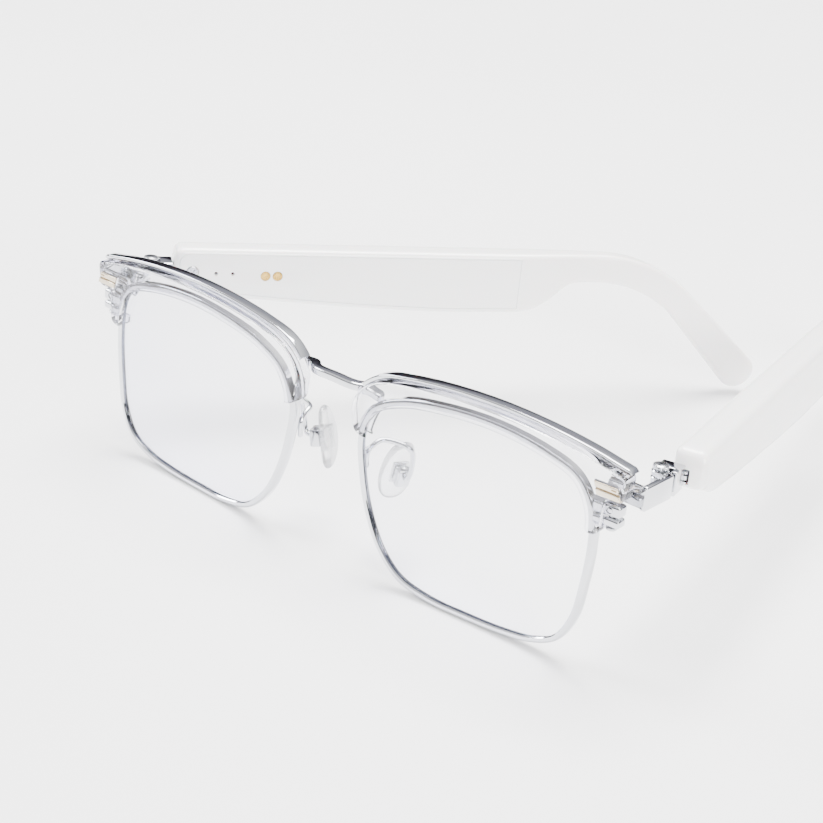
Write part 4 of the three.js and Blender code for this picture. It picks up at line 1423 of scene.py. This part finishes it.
@dataclass
class NosePad:
    """Silicone pad with its metal mount, the screw it rocks on and the bent wire that carries it."""

    layout: Layout
    side: Side
    height: float = 14.0
    width: float = 7.6
    thickness: float = 2.4
    wire_radius: float = 0.55
    foot: float = 4.4
    box_half: float = 1.9
    wall: float = 0.45

    def build(self) -> None:
        """Builds and dresses the four pieces."""
        place = self.layout.pad(self.side)
        rocking = f"nose_pad_{self.side.label}"
        settle_rows(self.side, (
            ("nose_pad", "silicone", self.pad_body, place, rocking),
            ("pad_mount", "steel", self.mount_body, place, rocking),
            ("pad_arm", "chrome", self.arm_body, place, "front"),
            ("pad_screw", "steel", self.screw_body, place, "front")))

    def axis_x(self) -> float:
        """Distance of the rocking screw behind the pad's middle."""
        return self.thickness / 2 + 1.4

    def pad_body(self, name: str) -> Piece:
        """Teardrop pad, cupped along its length, with the pocket for its mount.

        Args:
            name: Object name.

        Returns:
            The piece, in millimetres.
        """
        h, w, half = self.height / 2, self.width / 2, self.thickness / 2
        shape = Outline((0, -h))
        shape.cubic((w * 1.15, -h), (w * 1.15, 0), (w * 0.8, h * 0.45))
        shape.cubic((w * 0.6, h * 0.95), (w * 0.3, h), (0, h))
        shape.cubic((-w * 0.5, h), (-w * 0.85, h * 0.8), (-w * 0.95, h * 0.2))
        shape.cubic((-w * 1.1, -h * 0.5), (-w * 0.8, -h), (0, -h))
        shares = (1.0, 0.985, 0.95, 0.89, 0.80, 0.68, 0.52, 0.34, 0.16, 0.03)

        def depth(share: float) -> float:
            """Half thickness, full in the middle and round at the edge."""
            return half * math.sqrt(max(1 - share ** 5, 0.0)) + 0.001

        pad = pillow(name, shape.points[:-1], lambda s: -depth(s), depth, shares, Axis.X)
        warp(pad, lambda v: Vector((v.x + 0.012 * v.z * v.z, v.y, v.z)))
        pocket = block("pocket", (half - 0.9, -1.75, -2.45), (half + 1, 1.75, 2.45), 0.3)
        return cut(pad, pocket)

    def mount_body(self, name: str) -> Piece:
        """Plate inside the pad with the lug that the screw passes through.

        Args:
            name: Object name.

        Returns:
            The piece, in millimetres.
        """
        half = self.thickness / 2
        base = block(name, (half - 0.7, -1.6, -2.3), (half + 0.1, 1.6, 2.3), 0.2)
        lug = block("lug", (half - 0.2, -0.5, -0.8), (half + 1.9, 0.5, 0.8), 0.15)
        bore = rod("bore", 0.45, -3, 3, centre=(self.axis_x(), 0, 0))
        return cut(unite(base, lug), bore)

    def screw_body(self, name: str) -> Piece:
        """Small slotted screw on the rocking axis.

        Args:
            name: Object name.

        Returns:
            The piece, in millimetres.
        """
        x, h = self.axis_x(), self.box_half
        shank = [(0, -h), (0.28, -h), (0.35, -h + 0.1), (0.35, h + 0.15)]
        head = [(0.7, h + 0.15), (0.75, h + 0.22), (0.7, h + 0.45), (0.4, h + 0.55), (0, h + 0.55)]
        body = lathe(name, [*shank, *head], 28, Axis.Z, (x, 0, 0))
        slot = block("slot", (x - 1, -0.1, h + 0.38), (x + 1, 0.1, h + 1))
        return cut(body, slot)

    def arm_path(self) -> list[Vector]:
        """Route of the wire from its foot on the rim to the box, in the pad's own frame.

        Returns:
            Points of the route.
        """
        lens = self.layout.lens
        flare = Matrix.Rotation(self.layout.pad_flare, 4, "Y")
        splay = Matrix.Rotation(-self.layout.pad_splay, 4, "Z")
        pad = Matrix.Translation(self.layout.pad_at) @ (flare @ splay)
        back = pad @ Vector((self.thickness / 2 + 3.6, 0, 0.8))
        x = lens.bridge / 2 - 0.1
        y = lens.rim_depth / 2 - lens.edge * math.sin(self.layout.wrap) + 0.3 + self.wire_radius + 0.1
        z = self.layout.pad_at[2] + 3.4
        world = ((x, y, z), (x, y, z + self.foot * 0.7), (x + 0.2, y + 1.2, z + self.foot),
                 (x + 0.9, y + 3.6, z + self.foot + 0.8), (back.x + 1.0, back.y - 0.9, z + self.foot - 0.7),
                 (back.x + 0.9, back.y, back.z + 2.6), tuple(back))
        inside = [pad.inverted() @ Vector(p) for p in world]
        return spline([*inside, (self.thickness / 2 + 2.45, 0, 0.4)], 80)

    def arm_body(self, name: str) -> Piece:
        """Bent wire with the open box at its end.

        Args:
            name: Object name.

        Returns:
            The piece, in millimetres.
        """
        x, h = self.axis_x(), self.box_half
        shell = block("shell", (x - 1.0, -1.5, -h), (x + 1.3, 1.5, h), 0.3, 3)
        room = block("room", (x - 3, -1.05, -h + self.wall), (x + 0.85, 1.05, h - self.wall), 0.12)
        bore = rod("bore", 0.45, -4, 4, centre=(x, 0, 0))
        return unite(wire(name, self.arm_path(), self.wire_radius), cut(shell, room, bore))


# ------------------------------------------------------------------------------ hinge
@dataclass
class Hinge:
    """Endpiece, hinge screw and the notched block on the temple."""

    layout: Layout
    side: Side
    height: float = 5.0
    ear: float = 1.2
    radius: float = 1.7
    screw: float = 0.7
    head: float = 1.6
    inside: float = 1.95
    plate_thickness: float = 1.3
    length: float = 9.0
    lug: float = 8.0
    block_length: float = 5.0
    teeth: int = 4
    tooth_depth: float = 0.7
    tongue_x: float = 2.1
    tongue_z: float = -0.2
    play: float = 0.06
    knurls: int = 18

    def build(self) -> None:
        """Builds and dresses the three pieces."""
        fixed, moving = self.layout.hinge(self.side), self.layout.temple(self.side)
        settle_rows(self.side, (
            ("endpiece", "chrome", self.endpiece, fixed, "front"),
            ("hinge_screw", "steel", self.screw_body, fixed, "front"),
            ("temple_hinge", "chrome", self.temple_block, moving, f"temple_{self.side.label}")))

    def endpiece(self, name: str) -> Piece:
        """Bar from the front to the hinge, with the two ears of the hinge.

        Args:
            name: Object name.

        Returns:
            The piece, in millimetres.
        """
        top, outer = self.height / 2, self.inside + self.plate_thickness
        bar = block(name, (self.inside, -self.length, -top), (outer, -0.05, top), 0.35, 3)
        lug = block("lug", (outer - self.lug, -self.length, -top + 0.3),
                    (outer - 0.2, -self.length + 1.1, top - 0.3), 0.25)
        parts = [lug]
        for z0, z1 in ((-top, -top + self.ear), (top - self.ear, top)):
            parts.append(rod("ear", self.radius, z0, z1, chamfer=0.18))
            parts.append(block("arm", (0, -self.radius, z0 + 0.02),
                               (self.inside + 0.3, 0, z1 - 0.02), 0.1, 2))
        bore = rod("bore", self.screw + self.play, -10, 10)
        return cut(unite(bar, *parts), bore)

    def screw_body(self, name: str) -> Piece:
        """Screw with a knurled, cross-slotted head.

        Args:
            name: Object name.

        Returns:
            The piece, in millimetres.
        """
        top = self.height / 2 + 0.3
        turns = ((math.pi * i / self.knurls, self.head - (0.12 if i % 2 else 0))
                 for i in range(2 * self.knurls))
        head = [(r * math.cos(a), r * math.sin(a)) for a, r in turns]
        crown = plate(name, head, top, top + 0.72, 0.1, 2, along=Axis.Z)
        dome = lathe("dome", [(0, top + 0.5), (1.3, top + 0.5), (1.3, top + 0.74),
                              (1.05, top + 0.86), (0, top + 0.9)], 40)
        shank = rod("shank", self.screw, -self.height / 2, top + 0.2, chamfer=0.12)
        slots = [block("slot", (-0.95, -0.17, top + 0.5), (0.95, 0.17, top + 2)) for _ in range(2)]
        slots[1].data.transform(Matrix.Rotation(math.pi / 2, 4, "Z"))
        return cut(unite(crown, dome, shank), *slots)

    def temple_block(self, name: str) -> Piece:
        """Block with the middle knuckle, the notched rear edge and the tongue into the temple.

        Args:
            name: Object name.

        Returns:
            The piece, in millimetres.
        """
        top, outer = self.height / 2, self.inside + self.plate_thickness
        knuckle = top - self.ear - 0.15
        clear = self.radius + 0.35
        body = block(name, (-self.radius + 0.3, clear, -top), (outer, self.block_length, top), 0.25, 3)
        lip = block("lip", (self.inside + 0.05, 0.45, -top), (outer, clear + 0.6, top), 0.2, 3)
        barrel = rod("barrel", self.radius, -knuckle, knuckle, chamfer=0.15)
        neck_half = self.radius * 0.75
        neck = block("neck", (-neck_half, 0, -knuckle), (neck_half, clear + 0.5, knuckle), 0.05, 1)
        tongue = block("tongue", (self.tongue_x, self.block_length - 0.5, self.tongue_z - 1.3),
                       (self.tongue_x + 1.6, self.block_length + 7, self.tongue_z + 1.3), 0.15)
        pitch = self.height / self.teeth
        end = self.block_length
        notches = [plate("notch", [(end + 0.2, z + pitch * 0.36), (end - self.tooth_depth, z + 0.12),
                                   (end - self.tooth_depth, z - 0.12), (end + 0.2, z - pitch * 0.36)],
                         outer - 1.4, outer + 1, along=Axis.X)
                   for z in (-top + (i + 0.5) * pitch for i in range(self.teeth))]
        bore = rod("bore", self.screw + self.play, -10, 10)
        hole = rod("hole", 0.9, -5, 9, Axis.X, (0, 9.6, self.tongue_z))
        return cut(unite(body, lip, barrel, neck, tongue), bore, hole, *notches)


# ----------------------------------------------------------------------------- temples
@dataclass
class Temple:
    """Hollow temple with its inner cover, screw, charging buttons and electronics."""

    layout: Layout
    side: Side
    inner: float = 0.3
    thickness: float = 7.0
    start: float = 5.4
    top: float = 5.3
    nose_height: float = 8.4
    shoulder: float = 14.0
    shoulder_height: float = 11.2
    deepest: float = 70.0
    height: float = 14.8
    body_end: float = 90.0
    ramp: float = 12.0
    tip_height: float = 6.9
    tip_width: float = 0.68
    bend_start: float = 107.0
    bend_radius: float = 34.0
    bend: float = math.radians(43)
    tail: float = 23.0
    paddle: float = 8.8
    toe_in: float = 3.0
    corner: float = 2.4
    shell_wall: float = 1.2
    cover_wall: float = 1.2
    floor_wall: float = 1.3
    seam: float = 0.06
    screw_at: Point2 = (9.6, -0.2)
    mics: tuple[Point2, ...] = ((15.0, -0.5), (18.8, -0.5))
    contacts: tuple[Point2, ...] = ((26.4, -0.9), (29.2, -0.9))
    contact_radius: float = 1.1
    speaker_start: float = 75.5
    outlets: int = 3
    outlet_pitch: float = 2.2
    screw_hole: float = 0.9
    sag_run: float = 24.0
    sag: float = 0.9
    bend_steps: int = 24
    tail_steps: int = 12
    tip_turn: float = math.radians(88)

    @property
    def outer(self) -> float:
        """Outer face of the temple's thick part."""
        return self.inner + self.thickness

    @property
    def cavity_end(self) -> float:
        """Where the hollow part ends."""
        return self.body_end - 3

    def build(self, nodes: dict[str, Piece]) -> None:
        """Builds and dresses the temple.

        Args:
            nodes: Engineering nodes by name, for the hidden pieces that keep their shape.
        """
        label, place = self.side.label, self.layout.temple(self.side)
        body = f"temple_{label}"
        settle_rows(self.side, (
            ("temple_shell", "temple_plastic", self.shell, place, body),
            ("temple_cover", "temple_plastic", self.cover, place, body),
            ("cover_screw", "steel", self.cover_screw, place, body)))
        for word, at in zip(("front", "rear"), self.contacts):
            node = f"charge_contact_{word}_{label}"
            settle(self.contact(f"{node}_fine", at), place, "gold", body, node)
        for base, finish in (("circuit_board", "board"), ("battery", "cell"), ("speaker", "black_plastic"),
                             ("microphone", "red_gauze"), ("touch_sensor", "film")):
            dress(nodes[f"{base}_{label}"], finish)
            LOG.info("%s_%s keeps its engineering shape", base, label)

    def under(self, height: float, inset: float = 0.0) -> float:
        """Level of the lower edge where the temple has a height."""
        return self.top - height + inset

    def lower_run(self) -> list[Point2]:
        """Lower edge of the thick part and the ramp behind it, back and up.

        Returns:
            Points back and up from the hinge.
        """
        s, c, ramp_end = self.start, self.corner, self.body_end + self.ramp
        nose, low, tip = self.under(self.nose_height), self.under(self.height), self.under(self.tip_height)
        run = Outline((s, nose + c)).quad((s, nose + 0.4), (s + c, nose), 8)
        run.steps((self.shoulder, self.under(self.shoulder_height)), 4)
        run.quad((self.shoulder + self.sag_run, low + self.sag), (self.deepest, low), 30)
        run.steps((self.body_end - self.ramp * 0.3, low + 0.2), 8)
        run.cubic((self.body_end + self.ramp * 0.45, low + 0.4), (self.body_end + self.ramp * 0.6, tip),
                  (ramp_end, tip), 26)
        return run.steps((self.bend_start, tip), 3).points

    def swing(self, radius: float, angle: float, run: float) -> Point2:
        """Point of the bent tip at a radius, an angle round the bend and a run beyond it."""
        return (self.bend_start + radius * math.sin(angle) + run * math.cos(angle),
                self.top - self.bend_radius + radius * math.cos(angle) - run * math.sin(angle))

    def stations(self) -> list[tuple[Point2, Point2, float]]:
        """Upper point, lower point and width share of each section from the hinge to the tip.

        Returns:
            The sections from front to back.
        """
        out = []
        for y, z in self.lower_run():
            ahead = min(max((y - self.start) / self.corner, 0), 1)
            upper = self.top - self.corner * (1 - math.sqrt(ahead)) ** 2
            edge = min((y - self.start) / 1.6, 1)
            out.append(((y, upper), (y, z), math.sqrt(max(1 - (1 - edge) ** 2 * 0.45, 0.0))))
        far, near, end = self.bend_radius, self.bend_radius - self.tip_height, self.bend_radius - self.paddle
        for i in range(1, self.bend_steps + 1):
            a = self.bend * i / self.bend_steps
            out.append((self.swing(far, a, 0), self.swing(near, a, 0), 1.0))
        for i in range(1, self.tail_steps + 1):
            run, radius = self.tail * i / self.tail_steps, near + (end - near) * i / self.tail_steps
            out.append((self.swing(far, self.bend, run), self.swing(radius, self.bend, run), 1.0))
        half = self.paddle / 2
        for i in range(1, self.tail_steps + 1):
            a = self.tip_turn * i / self.tail_steps
            run = self.tail + half * math.sin(a)
            out.append((self.swing(far - half + half * math.cos(a), self.bend, run),
                        self.swing(far - half - half * math.cos(a), self.bend, run),
                        max(math.cos(a), 0.02) ** 0.45))
        return out

    def section(self, upper: Point2, lower: Point2, share: float) -> list[Vector]:
        """Rounded section between two points, more crowned on its outer side.

        Args:
            upper: Highest point.
            lower: Lowest point.
            share: Share of the full width.

        Returns:
            Points of the section.
        """
        tall = math.hypot(upper[0] - lower[0], upper[1] - lower[1])
        wide = self.thickness * share
        mid = self.inner + self.thickness / 2
        ring = []
        inner, outer = min(1.3, tall * 0.45, wide * 0.4), min(2.3, tall * 0.48, wide * 0.45)
        for a, b in rounded_section(wide, tall, inner, outer):
            k = b / tall + 0.5
            y = lower[0] + (upper[0] - lower[0]) * k
            z = lower[1] + (upper[1] - lower[1]) * k
            ring.append(self.tapered(Vector((mid + a, y, z))))
        return ring

    def tapered(self, v: Vector) -> Vector:
        """Point after the temple gets thinner and turns inwards behind the electronics.

        Args:
            v: Point of the straight temple.

        Returns:
            The moved point.
        """
        mid = self.inner + self.thickness / 2
        s = min(max((v.y - self.body_end + 6) / 26, 0), 1)
        ease = s * s * (3 - 2 * s)
        run = max(v.y - self.body_end, 0) / 50
        width = 1 - (1 - self.tip_width) * ease
        return Vector((mid + (v.x - mid) * width - self.toe_in * run * run, v.y, v.z))

    def hollow_outline(self, inset: float, end: float) -> list[Point2]:
        """Side view of the thick part, shrunk all round and cut off square.

        Args:
            inset: How far each side moves in.
            end: Where it is cut off.

        Returns:
            Points of the outline.
        """
        s, top, c = self.start + inset, self.top - inset, self.corner
        low, nose = self.under(self.height, inset), self.under(self.nose_height, inset)
        shape = Outline((s, top - c)).quad((s, top), (s + c, top))
        shape.line((end, top), (end, low + 0.2), (self.deepest, low))
        shape.quad((self.shoulder + self.sag_run, low + self.sag),
                   (self.shoulder, self.under(self.shoulder_height, inset)), 24)
        return shape.line((s + c, nose)).quad((s, nose + 0.4), (s, nose + c)).points

    def shell(self, name: str) -> Piece:
        """Outer shell with the ear tip, hollowed from its inner side.

        Args:
            name: Object name.

        Returns:
            The piece, in millimetres.
        """
        skin = loft(name, [self.section(*station) for station in self.stations()])
        floor, lid = self.outer - self.floor_wall, self.inner + self.cover_wall
        room = plate("room", self.hollow_outline(self.shell_wall, self.cavity_end), self.inner - 1,
                     floor, along=Axis.X)
        y, z = self.screw_at
        slot = block("slot", (lid + 0.3, self.start - 2, z - 1.6), (lid + 2.5, self.start + 3, z + 1.6))
        base = self.under(self.height)
        outlets = []
        for i in range(self.outlets):
            at = self.speaker_start + i * self.outlet_pitch
            outlets.append(block("outlet", (self.inner + 2.4, at + 1.5, base - 1),
                                 (self.outer - 2.4, at + 2.5, base + self.shell_wall + 1), 0.3))
        boss = cut(rod("boss", 1.7, lid + 2.5, floor + 0.3, Axis.X, (0, y, z)),
                   rod("thread", self.screw_hole, -5, floor - 0.2, Axis.X, (0, y, z)))
        return unite(cut(skin, room, slot, *outlets), boss)

    def cover(self, name: str) -> Piece:
        """Flush inner cover with its screw seat, microphone holes and contact holes.

        Args:
            name: Object name.

        Returns:
            The piece, in millimetres.
        """
        lid = plate(name, self.hollow_outline(self.shell_wall + self.seam, self.cavity_end - self.seam),
                    self.inner, self.inner + self.cover_wall, 0.1, 2, along=Axis.X)
        through = 5
        drills = [(self.screw_at, self.screw_hole, through), (self.screw_at, 1.5, self.inner + 0.6)]
        drills += [(at, 0.42, through) for at in self.mics]
        drills += [(at, 0.55, self.inner + 0.12) for at in self.mics]
        drills += [(at, self.contact_radius + 0.07, through) for at in self.contacts]
        return cut(lid, *(rod("hole", radius, -5, end, Axis.X, (0, *at)) for at, radius, end in drills))

    def cover_screw(self, name: str) -> Piece:
        """Cross-slotted screw with a rounded rim.

        Args:
            name: Object name.

        Returns:
            The piece, in millimetres.
        """
        face, end = self.inner + 0.05, self.outer - self.floor_wall - 0.8
        body = lathe(name, [(0, face + 0.08), (0.75, face + 0.05), (1.15, face + 0.02), (1.3, face + 0.1),
                            (1.35, face + 0.25), (1.35, face + 0.45), (0.6, face + 0.5), (0.6, end - 0.3),
                            (0.3, end), (0, end)], 40, Axis.X, (0, *self.screw_at))
        cross = []
        for turn in (math.pi / 4, -math.pi / 4):
            arm = block("cross", (-1, -0.78, -0.17), (face + 0.38, 0.78, 0.17), 0.05, 1)
            arm.data.transform(Matrix.Translation((0, *self.screw_at)) @ Matrix.Rotation(turn, 4, "X"))
            cross.append(arm)
        pit = lathe("pit", [(0, face - 1), (0.34, face - 1), (0.34, face + 0.2), (0, face + 0.45)],
                    24, Axis.X, (0, *self.screw_at))
        return cut(body, *cross, pit)

    def contact(self, name: str, at: Point2) -> Piece:
        """Gold button with a turned ring and a dimple.

        Args:
            name: Object name.
            at: Its place back and up from the hinge.

        Returns:
            The piece, in millimetres.
        """
        r, face = self.contact_radius, self.inner - 0.05
        back = self.inner + self.cover_wall
        button = [(0, face + 0.05), (0.18, face + 0.03), (0.3, face), (r - 0.14, face), (r, face + 0.12)]
        stem = [(r, back + 0.1), (0.5, back + 0.1), (0.5, back + 0.5), (0, back + 0.5)]
        return lathe(name, [*button, *stem], 48, Axis.X, (0, *at))


def rounded_section(wide: float, tall: float, inner: float, outer: float) -> list[Point2]:
    """Rounded section whose inner side (negative) and outer side have their own corner radii.

    Args:
        wide: Size from the inner to the outer side.
        tall: Size from bottom to top.
        inner: Corner radius of the inner side.
        outer: Corner radius of the outer side.

    Returns:
        Points of the section.
    """
    steps = 6
    ring = rounded(wide, tall, (outer, inner, inner, outer), steps)
    out: list[Point2] = []
    for i, (a, b) in enumerate(ring):
        out.append((a, b))
        c, d = ring[(i + 1) % len(ring)]
        if math.hypot(c - a, d - b) > 1e-4 and (i + 1) % (steps + 1) == 0:
            out.extend(((a + (c - a) * k / 4, b + (d - b) * k / 4) for k in (1, 2, 3)))
    return out


# ------------------------------------------------------------------------------- stage
@dataclass
class Stage:
    """Pale floor, soft lights and the camera."""

    floor_size: float = 8.0
    target: Point3 = (0.0247, -0.0839, 0.0438)
    azimuth: float = 39.21
    elevation: float = 26.69
    roll: float = 2.91
    distance: float = 0.3927
    focal: float = 89.7
    floor_finish: Finish = Finish("floor", (0.85, 0.85, 0.857), (0.835, 0.835, 0.842), 0, 0.45, 0.6,
                                  scale=6, bump=0.02)

    def build(self) -> None:
        """Builds the floor, the lights, the surroundings and the camera."""
        self._floor()
        self._lights()
        self._surroundings()
        self._camera()

    def _floor(self) -> None:
        """Large pale floor."""
        half = self.floor_size / 2
        mesh = bpy.data.meshes.new("floor")
        outline = ((-half, -half), (half, -half), (half, half), (-half, half))
        mesh.from_pydata([(x, y, 0.0) for x, y in outline], [], [(0, 1, 2, 3)])
        floor = new_object("floor", mesh)
        floor.data.materials.append(self.floor_finish.build("floor"))
        floor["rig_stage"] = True

    def _lights(self) -> None:
        """Soft lights above and behind, to the left and to the right."""
        for name, place, size, power, color in (
                ("top", (-0.1, 0.25, 1.1), 0.7, 52.0, (1.0, 0.99, 0.97)),
                ("left", (-1.1, -0.3, 0.8), 0.5, 22.0, (0.96, 0.98, 1.0)),
                ("right", (1.1, -0.6, 0.6), 0.5, 28.0, (1.0, 0.98, 0.96))):
            data = bpy.data.lights.new(name, "AREA")
            data.size = size
            data.energy = power
            data.color = color
            lamp = bpy.data.objects.new(name, data)
            lamp.location = place
            aim = LIGHT_AIM - Vector(place)
            lamp.rotation_euler = aim.to_track_quat("-Z", "Y").to_euler()
            bpy.context.scene.collection.objects.link(lamp)

    def _surroundings(self) -> None:
        """Studio surroundings: bright overhead, greyer low down, so that metal has something to mirror."""
        world = bpy.data.worlds.new("studio")
        bpy.context.scene.world = world
        world.use_nodes = True
        tree = world.node_tree
        where = tree.nodes.new("ShaderNodeTexCoord")
        split = tree.nodes.new("ShaderNodeSeparateXYZ")
        ramp = tree.nodes.new("ShaderNodeValToRGB")
        ramp.color_ramp.interpolation = "EASE"
        stops = ((0.0, (0.10, 0.10, 0.11)), (0.5, (0.03, 0.03, 0.035)), (0.60, (0.04, 0.035, 0.045)),
                 (0.72, (0.55, 0.55, 0.62)), (0.9, (1.6, 1.6, 1.6)))
        first, last = ramp.color_ramp.elements
        first.color = (*stops[0][1], 1)
        last.position = stops[-1][0]
        last.color = (*stops[-1][1], 1)
        for position, color in stops[1:-1]:
            ramp.color_ramp.elements.new(position).color = (*color, 1)
        half = preset(tree.nodes.new("ShaderNodeMapRange"), {"From Min": -1})
        background = preset(tree.nodes["Background"], {"Strength": 1.0})
        link(tree, where, "Generated", split, "Vector")
        link(tree, split, "Z", half, "Value")
        link(tree, half, "Result", ramp, "Fac")
        link(tree, ramp, "Color", background, "Color")

    def _camera(self) -> None:
        """Camera that looks down on the glasses at the stage's azimuth and elevation."""
        az, el = math.radians(self.azimuth), math.radians(self.elevation)
        back = Vector((math.sin(az) * math.cos(el), -math.cos(az) * math.cos(el), math.sin(el)))
        data = bpy.data.cameras.new("camera")
        data.lens = self.focal
        data.clip_start = 0.01
        camera = bpy.data.objects.new("camera", data)
        bpy.context.scene.collection.objects.link(camera)
        look = (-back).to_track_quat("-Z", "Y").to_matrix().to_4x4()
        place = Matrix.Translation(Vector(self.target) + back * self.distance)
        camera.matrix_world = place @ look @ Matrix.Rotation(math.radians(self.roll), 4, "Z")
        bpy.context.scene.camera = camera


def corners() -> list[list[float]]:
    """Lowest and highest corners of everything that shows, as plain lists."""
    return [[float(c) for c in corner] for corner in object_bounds()]


def main() -> None:
    """Builds the glasses around the frame, then the stage."""
    logging.basicConfig(level=logging.INFO, format="%(name)s %(message)s")
    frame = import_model()
    layout = Layout({joint["name"]: joint for joint in frame["joints"]}, LensSize())
    Bridge(layout).build()
    for side in Side:
        FrontHalf(layout, side).build()
        NosePad(layout, side).build()
        Hinge(layout, side).build()
        Temple(layout, side).build(frame["nodes"])
    Stage().build()


if __name__ == "__main__":
    main()
